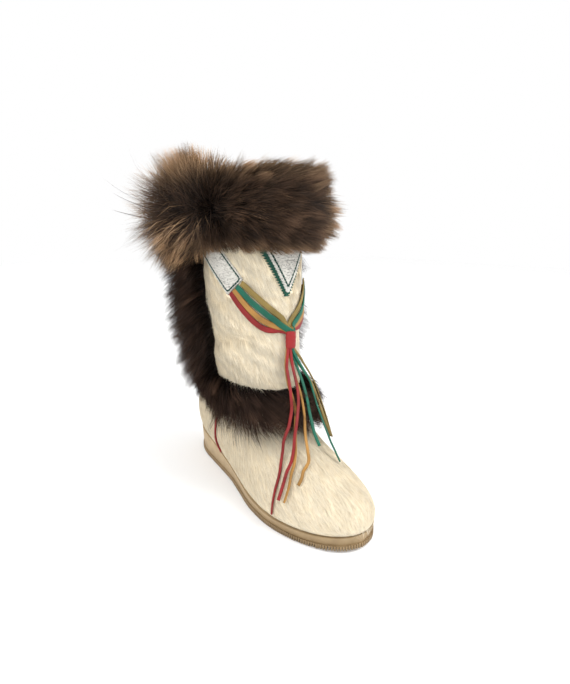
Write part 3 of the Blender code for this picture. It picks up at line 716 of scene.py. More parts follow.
def clump(paths, per_lock, pull, source):
    """Draw the tips of hairs to that of the nearest guide hair; also gives each hair's guide."""
    guides = len(paths) // per_lock
    chosen = source.choice(len(paths), size=guides, replace=False)
    lookup = KDTree(guides)
    for index, hair in enumerate(chosen):
        lookup.insert(Vector(paths[hair, 0]), index)
    lookup.balance()
    nearest = np.array([lookup.find(Vector(root))[1] for root in paths[:, 0]])
    guide_paths = paths[chosen[nearest]]
    stations = paths.shape[1]
    share = np.linspace(0.0, 1.0, stations)[None, :, None] ** 1.3
    strength = pull * source.uniform(0.4, 1.0, size=guides)[nearest][:, None, None]
    return paths + (guide_paths - paths) * share * strength, nearest


def blade_faces(hairs, stations):
    """Corners and first loops of the faces of all blades: quads in a row, and a triangle at the tip."""
    quads = [(2 * k, 2 * k + 1, 2 * k + 3, 2 * k + 2) for k in range(stations - 2)]
    tip = (2 * stations - 4, 2 * stations - 3, 2 * stations - 2)
    pattern = np.array([corner for quad in quads for corner in quad] + list(tip))
    sizes = np.array([4] * len(quads) + [3])
    blades = np.arange(hairs)[:, None]
    loops = (pattern[None, :] + blades * (2 * stations - 1)).ravel()
    starts = (np.concatenate([[0], np.cumsum(sizes)[:-1]])[None, :] + blades * sizes.sum()).ravel()
    return loops, starts


def both_edges(values):
    """Values at the stations of a blade, for both its edges and its one tip."""
    return np.concatenate([np.repeat(values[:, :-1], 2, axis=1), values[:, -1:]], axis=1)


def blade_object(name, paths, widths, facing, tones, lights, softness, material):
    """Joined tapered blades along the paths, as one mesh."""
    hairs, stations, _ = paths.shape
    along = np.linspace(0.0, 1.0, stations)
    tangent = unit(np.gradient(paths, axis=1))
    side = unit(np.cross(tangent, facing[:, None, :]))
    taper = (1.0 - along[:-1]) ** 0.6
    half = 0.5 * widths[:, None, None] * taper[None, :, None]
    pairs = np.stack([paths[:, :-1] - side[:, :-1] * half, paths[:, :-1] + side[:, :-1] * half], axis=2)
    points = np.concatenate([pairs.reshape(hairs, -1, 3), paths[:, -1:]], axis=1)
    own = unit(np.cross(side, tangent))
    normals = both_edges(unit(own * (1.0 - softness) + facing[:, None, :] * softness))
    loops, starts = blade_faces(hairs, stations)
    mesh = bpy.data.meshes.new(name)
    mesh.vertices.add(points.shape[0] * points.shape[1])
    mesh.vertices.foreach_set("co", points.astype(np.float32).ravel())
    mesh.loops.add(len(loops))
    mesh.loops.foreach_set("vertex_index", loops.astype(np.int32))
    mesh.polygons.add(len(starts))
    mesh.polygons.foreach_set("loop_start", starts.astype(np.int32))
    mesh.update(calc_edges=True)
    mesh.polygons.foreach_set("use_smooth", np.ones(len(starts), dtype=bool))
    if lights.ndim == 1:
        lights = np.repeat(lights[:, None], stations, axis=1)
    data = np.ones((*points.shape[:2], 4), dtype=np.float32)
    data[..., 0] = both_edges(along[None, :])
    data[..., 1] = tones[:, None]
    data[..., 2] = both_edges(lights)
    layer = mesh.attributes.new("hair", "FLOAT_COLOR", "POINT")
    layer.data.foreach_set("color", data.ravel())
    mesh.normals_split_custom_set_from_vertices(normals.reshape(-1, 3).tolist())
    return place_mesh(name, mesh, material)


def wave(around, seed, count=5):
    """Slow random variation round the shaft, from -1 to 1."""
    source = np.random.default_rng(seed)
    total = np.zeros_like(np.asarray(around, dtype=float))
    for order in range(1, count + 1):
        size = source.uniform(0.4, 1.0)
        shift = source.uniform(0, 6.3)
        total += size * np.sin(np.radians(around) * order * 2 + shift) / count
    return total


def hump(around, middle, half):
    """1 at an angle, falling to 0 at half a width from it."""
    return 1.0 - smooth_step(0.0, half, np.abs(around - middle))


def jittered(normals, amount, source):
    """Normals, each turned a little its own way."""
    return unit(normals + source.normal(0.0, amount, normals.shape))


def own_widths(width, count, source):
    """Width of each hair."""
    return width * source.uniform(0.6, 1.3, count)


def lock_tones(lock, source, middle):
    """Brightness of each hair: its lock's, and a little of its own."""
    shared = source.normal(0.0, 0.27, lock.max() + 1)[lock]
    return np.clip(middle + shared + source.normal(0.0, 0.14, len(lock)), 0.0, 1.0)


def fit_lengths(roots, steps, lengths, low, high, source):
    """Shorten hairs whose tips would leave the space between low and high, raggedly."""
    steps = np.where(np.abs(steps) < 1e-6, 1e-6, steps)
    room = np.where(steps > 0.0, (high - roots) / steps, (low - roots) / steps)
    most = np.maximum(room.min(axis=1), 0.15 * lengths)
    cut = most < lengths
    return np.where(cut, most * source.uniform(0.86, 1.0, len(lengths)), lengths)


def off_axis(points):
    """How far points lie off the shaft's skin, level, at the collar's size."""
    flat = points[..., :2] - AXIS
    ratio = np.maximum(np.linalg.norm(flat / SHAFT_HALF, axis=-1), 1.0)
    return np.linalg.norm(flat, axis=-1) * (1.0 - 1.0 / ratio)


def rim_light(paths):
    """Where the cuff's outermost hair catches the light: top, right edge and lateral corner."""
    around = around_of(paths)
    off = off_axis(paths)
    top = smooth_step(CUFF_TOP - 0.036, CUFF_TOP - 0.006, paths[..., 2])
    right = plateau(around, 15.0, 60.0, 130.0, 170.0) * smooth_step(0.014, 0.030, off)
    left = hump(around, *CORNER_LIGHT_ZONE) * smooth_step(0.040, 0.068, off)
    under = 0.5 * (1.0 - smooth_step(CUFF_BOTTOM, CUFF_BOTTOM + 0.014, paths[..., 2]))
    return np.maximum(np.maximum(top, under), np.maximum(0.9 * right, 0.8 * left))


def combed_share(around):
    """1 where the cuff is combed to the medial side, in front, and 0 where its hair stands parted."""
    combed = smooth_step(*COMBED_STARTS, around) * (1.0 - 0.75 * smooth_step(*COMBED_LESSENS, around))
    return combed * (1.0 - smooth_step(*COMBED_ENDS, around))


def cuff_tail(around, share):
    """The lowest hair of the lateral back corner, which hangs in a tail."""
    return hump(around, *TAIL_ZONE) * (1.0 - smooth_step(0.10, 0.35, share))


def cuff_flow(around, share, laid):
    """How far outwards, upwards and sideways each hair of the cuff aims."""
    combed = combed_share(around)
    parted = 1.0 - combed
    hanging = laid * hump(around, *HANGING_ZONE)
    rise = (share - 0.52 - 0.10 * combed) * (1.55 + 0.95 * parted) - 1.0 * cuff_tail(around, share)
    over_parting = np.tanh((share - CUFF_PARTING - 0.05 * wave(around, 12)) * 14.0)
    rise = rise * (1.0 - hanging) + 1.9 * over_parting * hanging
    sweep = 1.05 * combed * (1.0 - 0.5 * hanging) + 0.22 * wave(around, 5)
    sweep = sweep - 0.20 * parted * (1.0 - hanging)
    facing_photo = laid * hump(around, *PHOTO_ZONE)
    return 0.72 - 0.42 * facing_photo, rise, sweep * (1.0 + 0.55 * facing_photo)


def cuff_lengths(around, share, source):
    """Length of each hair of the cuff, before it is fitted into its space."""
    gain = smooth_step(0.3, 0.8, back_share(around))
    reach = CUFF_REACH_FRONT + (CUFF_REACH_BACK - CUFF_REACH_FRONT) * gain
    edge = 1.0 - 0.26 * np.abs(share - 0.5) * 2.0
    lengths = reach * edge * (1.0 + 0.10 * wave(around, 9)) * source.uniform(0.70, 1.12, len(around))
    return lengths * (1.0 + 0.30 * cuff_tail(around, share))


def cuff_box(ground, ceiling):
    """Lowest and highest corner of the space between the cuff's sides, for each hair."""
    free = np.full(len(ground), -1.0)
    left, right, back = (np.full(len(ground), side) for side in CUFF_SIDES)
    return np.stack([left, free, ground], axis=1), np.stack([right, back, ceiling], axis=1)


def cuff_space(around, source):
    """Lowest and highest corner of the space open to each hair of the cuff."""
    count = len(around)
    ceiling = np.full(count, CUFF_TOP)
    for middle, half, higher in CUFF_TOPS:
        ceiling = ceiling + higher * hump(around, middle, half)
    drop = LOW_ZONE_DROP * np.sqrt(hump(around, *LOW_ZONE)) * source.uniform(0.6, 1.4, count)
    ground = CUFF_BOTTOM + HIGH_ZONE_RISE * hump(around, *HIGH_ZONE) - drop
    return cuff_box(ground, ceiling)


def cuff_hair(name, count, laid, source):
    """Long fur of the cuff: combed to the medial side in front, parted level on the lateral side."""
    around = source.uniform(-180.0, 180.0, count)
    share = source.uniform(0.0, 1.0, count)
    roots, normals = level_skin(around, CUFF_LOW + (CUFF_HIGH - CUFF_LOW) * share)
    parted = 1.0 - combed_share(around)
    outward, rise, sweep = cuff_flow(around, share, laid)
    spread = source.normal(0.0, 1.0, (count, 3)) * (0.17 + 0.11 * parted)[:, None]
    first = unit(aimed(normals, outward + 0.20, rise * 0.6, sweep * 0.6) + spread)
    last = unit(aimed(normals, outward, rise, sweep) + spread)
    lengths = cuff_lengths(around, share, source)
    low, high = cuff_space(around, source)
    lengths = fit_lengths(roots, 0.5 * (first + last), lengths, low, high, source)
    paths = curved_paths(roots, first, last, lengths, FUR_STATIONS)
    paths, lock = clump(paths, *CUFF_LOCK, source)
    facing = jittered(normals, 0.5, source)
    under_parting = 1.0 - smooth_step(CUFF_PARTING - 0.06, CUFF_PARTING, share)
    golden = hump(around, *GOLDEN_ZONE) * under_parting
    gilded = source.uniform(0.0, 1.0, count)[lock] < 0.02 + 0.36 * golden
    # Painted rim light: hair of the parted sides and back is a little lighter than the combed front; in
    # the golden zone gilded locks are lighter and the rest darker
    middle = 0.34 + 0.12 * parted + golden * np.where(gilded, 0.50, -0.32)
    tones = lock_tones(lock, source, middle)
    rim = rim_light(paths) * (source.uniform(0.30, 1.0, lock.max() + 1)[lock])[:, None]
    shine = gilded * (0.25 + 0.75 * golden) * source.uniform(0.6, 1.0, count)
    lights = np.clip(np.maximum(rim, shine[:, None]), 0.0, 1.0)
    widths = own_widths(CUFF_HAIR_WIDTH, count, source) * np.where(gilded, 1.3, 1.0)
    return blade_object(
        name, paths, widths, facing, tones, lights, FUR_SOFTNESS, MATERIALS["cuff_hair"]
    )


def make_wisps():
    """The few long dark hairs that stand off the cuff's back corner."""
    table = {name: np.array([row[k] for row in WISPS]) for k, name in enumerate(WISP_COLUMNS)}
    roots, normals = level_skin(table["around"], table["height"])
    last = unit(aimed(normals, table["outward"], table["upward"], table["sideways"]))
    count = len(WISPS)
    low, high = cuff_box(np.zeros(count), np.ones(count))
    source = np.random.default_rng(SEEDS["wisps"])
    lengths = fit_lengths(roots, 0.5 * (normals + last), table["length"], low, high, source)
    paths = curved_paths(roots, normals, last, lengths, WISP_STATIONS)
    widths = np.full(count, WISP_WIDTH)
    tones = np.full(count, 0.4)
    lights = np.zeros(count)
    return blade_object(
        "cuff_wisps", paths, widths, normals, tones, lights, WISP_SOFTNESS, MATERIALS["dark_hair"]
    )


def dark_fur(name, around, height, reach, droop, forward, source):
    """Dark fur on part of the shaft, swept down and a little forwards."""
    count = len(around)
    roots, normals = skin(around, height)
    from_back = np.clip((180.0 - np.abs(around)) / 35.0, 0.0, 1.0)
    ahead = -tangents(normals) * (np.sign(around) * from_back)[:, None]
    spread = source.normal(0.0, 0.18, (count, 3))
    down = UP * np.broadcast_to(droop, count)[:, None]
    first = unit(normals - down * 0.4 + ahead * forward * 0.5 + spread)
    last = unit(normals * 0.50 - down + ahead * forward + spread)
    lengths = reach * (1.0 + 0.12 * wave(around * 2.0, 15)) * source.uniform(0.70, 1.25, count)
    paths = curved_paths(roots, first, last, lengths, FUR_STATIONS)
    paths, lock = clump(paths, *DARK_LOCK, source)
    facing = jittered(normals, 0.45, source)
    tones = lock_tones(lock, source, 0.42)
    # Painted highlight: about one lock in seven lightens towards its tips, as streaks of sheen
    lights = (source.uniform(0.0, 1.0, count)[lock] < 0.14) * source.uniform(0.2, 0.8, count)
    widths = own_widths(DARK_HAIR_WIDTH, count, source)
    return blade_object(
        name, paths, widths, facing, tones, lights, FUR_SOFTNESS, MATERIALS["dark_hair"]
    )


def make_ankle_hair():
    """Fur of the ankle band, shorter at the back and where the band is pressed flat."""
    source = np.random.default_rng(SEEDS["band"])
    around = source.uniform(-180.0, 180.0, BAND_HAIRS)
    low, high = band_edges(around)
    height = source.uniform(low, high)
    below = 1.0 - (height - low) / (high - low)
    first, last = BAND_PRESSED
    ease = BAND_PRESSED_EASE
    pressed = plateau(around, first - ease, first + ease, last - ease, last + ease)
    reach = BAND_REACH * (1.0 + 0.25 * below) * (1.0 - 0.48 * back_share(around)) * (1.0 - 0.20 * pressed)
    item = dark_fur("ankle_hair", around, height, reach, 0.55 + 0.45 * below, 1.25, source)
    add(item, "ankle_fur", slot="dark_fur")


def make_back_hair():
    """Fur of the strip up the back."""
    source = np.random.default_rng(SEEDS["strip"])
    height = source.uniform(BAND_TOP_FRONT, CUFF_LOW, STRIP_HAIRS)
    edge = strip_edge(height)
    around = edge + (360.0 - 2.0 * edge) * source.uniform(0.0, 1.0, STRIP_HAIRS)
    around = np.where(around > 180.0, around - 360.0, around)
    item = dark_fur("back_hair", around, height, STRIP_REACH, 0.60, 0.42, source)
    add(item, "back_fur", slot="dark_fur")


def make_fur():
    """Cuff, ankle band and back strip."""
    for index, laid in enumerate(CUFF_LAID):
        source = np.random.default_rng(SEEDS["cuff"] + index)
        item = cuff_hair("cuff_hair_" + "ab"[index], CUFF_HAIRS, laid, source)
        add(item, "fur_cuff", slot="cuff_fur")
    add(make_wisps(), slot="cuff_fur")
    make_ankle_hair()
    make_back_hair()


def hide_flow(points, normals):
    """Which way the short hair lies: down the shaft and forwards, and to the toe on the foot."""
    around = around_of(points)
    across = tangents(normals)
    forward = 1.0 - 2.0 * smooth_step(50.0, 90.0, around)
    on_shaft = across * (0.45 * forward)[:, None] - UP
    on_foot = np.array([0.0, -1.0, -0.75])
    share = smooth_step(*FLOW_SPAN, points[:, 2])[:, None]
    flow = on_shaft * share + on_foot * (1.0 - share)
    flow = flow - normals * np.sum(flow * normals, axis=1, keepdims=True)
    return unit(flow)


def near_patch(points, reach):
    """Which points lie under a leather patch."""
    return np.array([
        any(tree.find_nearest(Vector(point), reach)[0] is not None for tree in PATCH_TREES)
        for point in points
    ])


def lay_on_hide(paths, lifts):
    """Bend hair paths down to the hide, rising from it by a lift at each station."""
    for hair in paths:
        for station in range(1, len(hair)):
            place, normal, _, gap = HIDE_TREE.find_nearest(Vector(hair[station]))
            if gap < HAIR_FREE_GAP:
                hair[station] = place + normal * lifts[station]
    return paths


def hide_roots(count, source):
    """Random places and normals on the hide, where no fur or leather covers it."""
    centres, normals, areas = mesh_arrays(HIDE.data)
    shown = np.array([p.material_index == HIDE_LOOKS.index("hide") for p in HIDE.data.polygons])
    shown[shown] &= ~near_patch(centres[shown], HAIR_FROM_PATCH)
    chance = np.where(shown, areas, 0.0)
    chosen = source.choice(len(centres), size=count, p=chance / chance.sum())
    reach = np.sqrt(areas[chosen])[:, None]
    normal = normals[chosen]
    jitter = source.uniform(-0.6, 0.6, (count, 3)) * reach
    jitter -= normal * np.sum(jitter * normal, axis=1, keepdims=True)
    return centres[chosen] + jitter, normal


def hide_aim(roots, normals, source):
    """Which way each short hair lies: with the flow, in slow bends, and a little its own way."""
    flow = hide_flow(roots, normals)
    spread = source.normal(0.0, 0.09, roots.shape)
    across = unit(np.cross(flow, normals))
    bend = 0.22 * wave(roots[:, 2] * 2200.0 + roots[:, 1] * 1300.0, 3)[:, None]
    return unit(flow + across * bend + spread)


def hide_tones(roots, on_shaft, lock, source):
    """Brightness of the short hair: painted shade of creases and locks in slow bands, stronger on the
    shaft, and dark in the shade of the band.
    """
    depth = band_edges(around_of(roots))[0] - roots[:, 2]
    in_shade = (1.0 - smooth_step(*SHADE_SPAN, depth)) * (depth > 0.0)
    # Painted shade: slow diagonal bands of lighter and darker hair, stronger on the shaft, stand in for
    # the shading of creases and wavy locks
    bands = wave(roots[:, 2] * 5200.0 - roots[:, 1] * 3700.0, 21)
    tones = 0.62 - 0.14 * on_shaft + (0.20 + 0.45 * on_shaft) * bands
    tones = tones + source.normal(0.0, 0.10, lock.max() + 1)[lock]
    tones = tones + source.normal(0.0, 0.14, len(lock))
    return np.clip(tones - BAND_SHADE * in_shade, 0.0, 1.0)


def hide_hair(name, count, source):
    """Short cream hair over the hide."""
    roots, normals = hide_roots(count, source)
    aim = hide_aim(roots, normals, source)
    on_toe = 1.0 - smooth_step(SOLE_LOW.y + TOE_SPAN[0], SOLE_LOW.y + TOE_SPAN[1], roots[:, 1])
    on_shaft = smooth_step(*SHAFT_SPAN, roots[:, 2])
    longer = TOE_HAIR_GAIN * on_toe + SHAFT_HAIR_GAIN * on_shaft
    lengths = (HIDE_HAIR_LENGTH + longer) * source.uniform(0.7, 1.2, count)
    room = np.array([SOLE_TREE.find_nearest(Vector(root))[3] for root in roots])
    lengths = np.minimum(lengths, room + HAIR_OVER_SOLE)
    paths = curved_paths(roots, aim, aim, lengths, HIDE_STATIONS)
    paths, lock = clump(paths, *HIDE_LOCK, source)
    paths = lay_on_hide(paths, HIDE_HAIR_LIFTS)
    facing = jittered(normals, 0.13, source)
    tones = hide_tones(roots, on_shaft, lock, source)
    # Painted shadow: a few thinner hairs, more on the toe and the shaft, darken towards their tips as dark
    # streaks of shade between clumps
    shadow_streak = source.uniform(0.0, 1.0, count) < 0.035 + 0.04 * on_shaft + 0.10 * on_toe
    lights = shadow_streak * source.uniform(0.4, 1.0, count)
    widths = own_widths(HIDE_HAIR_WIDTH, count, source) * (1.0 - 0.35 * shadow_streak)
    return blade_object(
        name, paths, widths, facing, tones, lights, HIDE_SOFTNESS, MATERIALS["hide_hair"]
    )


# Leather strips, stitches and patches


def islands(vertices, edges):
    """Groups of vertex numbers joined by edges."""
    group = list(range(len(vertices)))

    def head(index):
        """Number that stands for a vertex's group."""
        while group[index] != index:
            index = group[index]
        return index

    for first, second in edges:
        group[head(first)] = head(second)
    found = {}
    for index in range(len(vertices)):
        found.setdefault(head(index), []).append(index)
    return list(found.values())


def section_line(points, reach):
    """Centres and across directions of a strip's cross sections, from the top end down."""
    pairs = [
        (i, j) for i in range(len(points)) for j in range(i)
        if np.linalg.norm(points[i] - points[j]) < reach
    ]
    sections = [points[group] for group in islands(points, pairs) if len(group) >= 4]
    centres = [section.mean(axis=0) for section in sections]
    order = [int(np.argmax([centre[2] for centre in centres]))]
    while len(order) < len(centres):
        rest = [i for i in range(len(centres)) if i not in order]
        order.append(min(rest, key=lambda i: np.linalg.norm(centres[i] - centres[order[-1]])))
    across = []
    for index in order:
        _, _, axes = np.linalg.svd(sections[index] - centres[index])
        axis = axes[0]
        across.append(axis if not across or axis @ across[-1] > 0.0 else -axis)
    return np.array([centres[i] for i in order]), np.array(across)


def resample(points, step):
    """Catmull-Rom points about every step along a line."""
    padded = np.vstack([2 * points[0] - points[1], points, 2 * points[-1] - points[-2]])
    fine = []
    for index in range(1, len(padded) - 2):
        a, b, c, d = padded[index - 1:index + 3]
        count = max(2, int(round(np.linalg.norm(c - b) / step)))
        for part in range(count):
            t = part / count
            fine.append(
                0.5 * (2 * b + (c - a) * t + (2 * a - 5 * b + 4 * c - d) * t * t
                       + (3 * b - a - 3 * c + d) * t ** 3)
            )
    fine.append(padded[-2])
    return np.array(fine)


def raise_off_hide(points, gap):
    """Move points out so that they clear the hide's hair."""
    for index, point in enumerate(points):
        place, normal, _, distance = HIDE_TREE.find_nearest(Vector(point))
        if distance < gap:
            points[index] = place + normal * gap
    return points


def tube_mesh(name, rings, material):
    """Mesh through closed rings of equal count, capped at both ends."""
    count = len(rings[0])
    points = [point for ring in rings for point in ring]
    faces = [
        (row * count + k, row * count + (k + 1) % count,
         (row + 1) * count + (k + 1) % count, (row + 1) * count + k)
        for row in range(len(rings) - 1) for k in range(count)
    ]
    faces.append(tuple(reversed(range(count))))
    faces.append(tuple((len(rings) - 1) * count + k for k in range(count)))
    mesh = new_mesh(name, points, faces)
    turn_faces_out(mesh)
    mesh.shade_smooth()
    return place_mesh(name, mesh, material)


def leather_strip(name, centres, across, width, thickness, twist, colour):
    """Flat strip with rounded edges along a line."""
    line = resample(centres, STRIP_STEP)
    sides = unit(resample(across, STRIP_STEP / max(1e-6, np.linalg.norm(centres[1] - centres[0]))))
    sides = sides[np.linspace(0, len(sides) - 1, len(line)).round().astype(int)]
    tangent = unit(np.gradient(line, axis=0))
    sides = unit(sides - tangent * np.sum(sides * tangent, axis=1, keepdims=True))
    facing = np.cross(tangent, sides)
    turn = np.linspace(0.0, twist, len(line))[:, None]
    turned_sides = sides * np.cos(turn) + facing * np.sin(turn)
    turned_facing = facing * np.cos(turn) - sides * np.sin(turn)
    rings = [
        [point + side * (0.5 * width * x) + out * (0.5 * thickness * z) for x, z in STRIP_SECTION]
        for point, side, out in zip(line, turned_sides, turned_facing)
    ]
    return tube_mesh(name, rings, MATERIALS[colour]), line


def zigzag(distance, pitch):
    """Saw line between -1 and 1."""
    return 2.0 * np.abs(2.0 * ((distance / pitch) % 1.0) - 1.0) - 1.0


def sheet_object(name, around, height, lift, material):
    """Thin leather lying on the hide over a grid of angles and heights, with its rim turned down."""
    rows, columns = around.shape
    points, normals = skin(around.ravel(), height.ravel())
    thick = np.full((rows, columns), lift)
    thick[0], thick[-1], thick[:, 0], thick[:, -1] = 0.0, 0.0, 0.0, 0.0
    points = points + normals * thick.ravel()[:, None]
    faces = [
        (r * columns + c, r * columns + c + 1, (r + 1) * columns + c + 1, (r + 1) * columns + c)
        for r in range(rows - 1) for c in range(columns - 1)
    ]
    mesh = new_mesh(name, points, faces)
    mesh.shade_smooth()
    mesh.set_sharp_from_angle(angle=math.radians(SHARP_ANGLE))
    return place_mesh(name, mesh, material)


def run_along(points):
    """Distance along a line at each of its points."""
    return np.concatenate([[0.0], np.cumsum(np.linalg.norm(np.diff(points, axis=0), axis=1))])


def rim_shares(count):
    """Shares from 0 to 1 with one more close to each end, for a rim."""
    rim = 0.012
    return np.concatenate([[0.0], np.linspace(rim, 1.0 - rim, count), [1.0]])


def tab_place(side, along, across):
    """Angle and height on a tab; across runs from -1 to 1."""
    around = TAB_FROM[0] + (TAB_TO[0] - TAB_FROM[0]) * along - TAB_HALF[0] * across
    height = TAB_FROM[1] + (TAB_TO[1] - TAB_FROM[1]) * along + TAB_HALF[1] * across
    return side * around, np.minimum(height, V_TOP)


def tab_size():
    """Length and half width of a tab on the hide, in metres."""
    ends, _ = skin(*tab_place(-1.0, np.array([0.0, 1.0]), np.zeros(2)))
    sides, _ = skin(*tab_place(-1.0, np.full(2, 0.9), np.array([-1.0, 1.0])))
    return np.linalg.norm(ends[1] - ends[0]), 0.5 * np.linalg.norm(sides[1] - sides[0])


def make_tab(side, name, length, half):
    """Crinkled white tab with pinked edges and a green stitch inside them."""
    along = rim_shares(100)[:, None]
    across = (2.0 * rim_shares(30) - 1.0)[None, :]
    pinked = PINK_DEPTH * zigzag(along * length, PINK_PITCH) / half
    spread = across * (1.0 + pinked * np.abs(across) ** 6)
    end = PINK_DEPTH * zigzag((across + 1.0) * half, PINK_PITCH) / length
    reach = along + end * along ** 12 + 0.0 * across
    around, height = tab_place(side, reach, spread)
    item = sheet_object(name + "_leather", around, height, PATCH_LIFT, MATERIALS["white_leather"])
    add(item, name, slot="white_leather")
    inset = 1.0 - STITCH_INSET / half
    last = 1.0 - STITCH_INSET / length
    down = np.linspace(0.0, last, 60)
    over = np.linspace(-inset, inset, 24)[1:-1]
    route_along = np.concatenate([down, np.full(len(over), last), down[::-1]])
    route_across = np.concatenate([np.full(60, -inset), over, np.full(60, inset)])
    return stitches(name + "_stitch", *tab_place(side, route_along, route_across), PATCH_LIFT)


def v_place(half, height):
    """Angle and height on the shaft's front at a sideways distance."""
    return np.degrees(np.arcsin(half / SHAFT_HALF[0])), height + 0.0 * half


def make_v(name, drop, half_width, lift, pink, material, slot):
    """Triangle of leather from the cuff down to its tip, with pinked edges."""
    along = rim_shares(110)[:, None]
    across = (2.0 * rim_shares(30) - 1.0)[None, :]
    half = half_width * (1.0 - along) + 0.0003
    half = half + pink * (zigzag(along * drop, PINK_PITCH) + 1.0) * 0.5
    around, height = v_place(half * across, V_TOP - drop * along)
    item = sheet_object(name + "_leather", around, height, lift, MATERIALS[material])
    add(item, name, slot=slot)


def make_v_stitch(lift):
    """Green stitch inside the edges of the white V."""
    inset = STITCH_INSET * math.hypot(V_DROP, V_HALF_WIDTH) / V_DROP
    tip = 1.0 - inset / V_HALF_WIDTH
    along = np.linspace(0.0, tip, 70)
    half = V_HALF_WIDTH * (1.0 - along) - inset
    route = np.concatenate([-half, half[::-1]])
    places = np.concatenate([along, along[::-1]])
    return stitches("v_stitch", *v_place(route, V_TOP - V_DROP * places), lift)


def stitches(name, around, height, lift):
    """Dashes of thread along a route over leather."""
    points, normals = skin(around, height)
    points = points + normals * lift
    run = run_along(points)

    def at(distance):
        """Place and facing at a distance along the route."""
        place = np.array([np.interp(distance, run, points[:, k]) for k in range(3)])
        facing = unit(np.array([np.interp(distance, run, normals[:, k]) for k in range(3)]))
        return place, facing

    vertices = []
    faces = []
    for start in np.arange(0.0, run[-1] - STITCH_LENGTH, STITCH_PITCH):
        first, facing = at(start)
        last, _ = at(start + STITCH_LENGTH)
        side = unit(np.cross(facing, last - first)) * STITCH_WIDTH * 0.5
        rise = facing * STITCH_WIDTH * STITCH_RISE
        base = len(vertices)
        vertices += [
            first - side, first + side, last + side, last - side,
            first * (1.0 - STITCH_RIDGE) + last * STITCH_RIDGE + rise,
            first * STITCH_RIDGE + last * (1.0 - STITCH_RIDGE) + rise,
        ]
        faces += [
            (base, base + 1, base + 4), (base + 1, base + 2, base + 5, base + 4),
            (base + 2, base + 3, base + 5), (base + 3, base, base + 4, base + 5),
        ]
    mesh = new_mesh(name, vertices, faces)
    mesh.shade_smooth()
    return add(place_mesh(name, mesh, MATERIALS["thread"]), slot="green_leather")


def make_patches():
    """Tabs and V of white leather with their stitches."""
    length, half = tab_size()
    make_tab(-1.0, "tab_lateral", length, half)
    make_tab(1.0, "tab_medial", length, half)
    make_v(
        "v_underlay", V_DROP + UNDERLAY_MARGIN, V_HALF_WIDTH + UNDERLAY_MARGIN, PATCH_LIFT,
        4.4 * PINK_DEPTH, "underlay", "green_leather",
    )
    make_v(
        "v_patch", V_DROP, V_HALF_WIDTH, 2.0 * PATCH_LIFT,
        1.5 * PINK_DEPTH, "white_leather", "white_leather",
    )
    make_v_stitch(2.0 * PATCH_LIFT)


def sole_outline(level):
    """Points round the outsole at a level, in order."""
    sketch = merged_mesh(NODES["outsole"].data)
    cut = bmesh.ops.bisect_plane(
        sketch, geom=sketch.verts[:] + sketch.edges[:] + sketch.faces[:], plane_co=(0.0, 0.0, level),
        plane_no=(0.0, 0.0, 1.0),
    )["geom_cut"]
    corners = coordinates(item for item in cut if isinstance(item, bmesh.types.BMVert))
    sketch.free()
    middle = np.array([SOLE_MIDDLE, 0.5 * (SOLE_LOW.y + SOLE_HIGH.y)])
    angle = np.arctan2(corners[:, 1] - middle[1], corners[:, 0] - middle[0])
    ring = corners[np.argsort(angle)]
    return np.vstack([ring, ring[:1]])


def tread_level(centres, outward):
    """Height of the sole's underside near each tooth: the lowest within a rib's pitch."""
    bottoms = []
    for centre, out in zip(centres, outward):
        inside = centre - out * 0.004
        hit = SOLE_TREE.ray_cast(Vector((inside[0], inside[1], -0.01)), Vector((0.0, 0.0, 1.0)))[0]
        bottoms.append(hit.z)
    near = int(RIB_PITCH / TOOTH_PITCH) + 1
    return np.min([np.roll(bottoms, shift) for shift in range(-near, near + 1)], axis=0)


def make_tread():
    """Small teeth of the fine tread along the sole's lower edge."""
    ring = sole_outline(TREAD_LEVEL)
    run = run_along(ring)
    count = int(run[-1] / TOOTH_PITCH)
    places = np.arange(count) * run[-1] / count
    centres = np.stack([np.interp(places, run, ring[:, k]) for k in range(2)], axis=1)
    ahead = unit(np.roll(centres, -1, axis=0) - np.roll(centres, 1, axis=0))
    outward = np.stack([ahead[:, 1], -ahead[:, 0]], axis=1)
    along, out, tall = TOOTH_SIZE
    vertices = []
    faces = []
    for centre, forward, outer, low in zip(centres, ahead, outward, tread_level(centres, outward)):
        base = len(vertices)
        for z, slope in ((low + 0.0001, 0.8), (low + tall, 1.0)):
            for x, y in TOOTH_CORNERS:
                spot = centre + forward * along * x * slope + outer * out * y
                vertices.append((spot[0], spot[1], z))
        faces += [tuple(base + k for k in quad) for quad in TOOTH_FACES]
    mesh = new_mesh("fine_tread", vertices, faces)
    turn_faces_out(mesh)
    add(place_mesh("fine_tread", mesh, MATERIALS["rubber"]), slot="rubber")


def wrap_top():
    """Middle of the wrap's upper end."""
    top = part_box("tassel")[1].z
    vertices = NODES["tassel"].data.vertices
    wrap = coordinates(v for v in vertices if v.co.z > top - WRAP_HEIGHT + 0.0002)
    middle = 0.5 * (wrap.min(axis=0) + wrap.max(axis=0))
    return np.array([middle[0], middle[1] - WRAP_GAP, top])


def merged_points(node):
    """Vertices of a CAD part with its split ones joined."""
    sketch = merged_mesh(NODES[node].data)
    points = coordinates(sketch.verts)
    sketch.free()
    return points


def make_thongs(joint):
    """Thongs between the tabs and the wrap, in place of the CAD ones."""
    for side in ("lateral", "medial"):
        for colour, rise in THONG_RISE.items():
            node = "thong_" + colour + "_" + side
            centres, across = section_line(merged_points(node), THONG_SECTION)
            centres = raise_off_hide(resample(centres, THONG_STEP), THONG_GAP + rise)
            centres = np.vstack([centres, joint + np.array([0.0, -rise, -0.001])])
            across = across[np.linspace(0, len(across) - 1, len(centres)).round().astype(int)]
            item, _ = leather_strip(
                node + "_strip", centres, across, THONG_WIDTH, THONG_THICKNESS, 0.0, colour
            )
            add(item, node, slot=colour + "_leather")


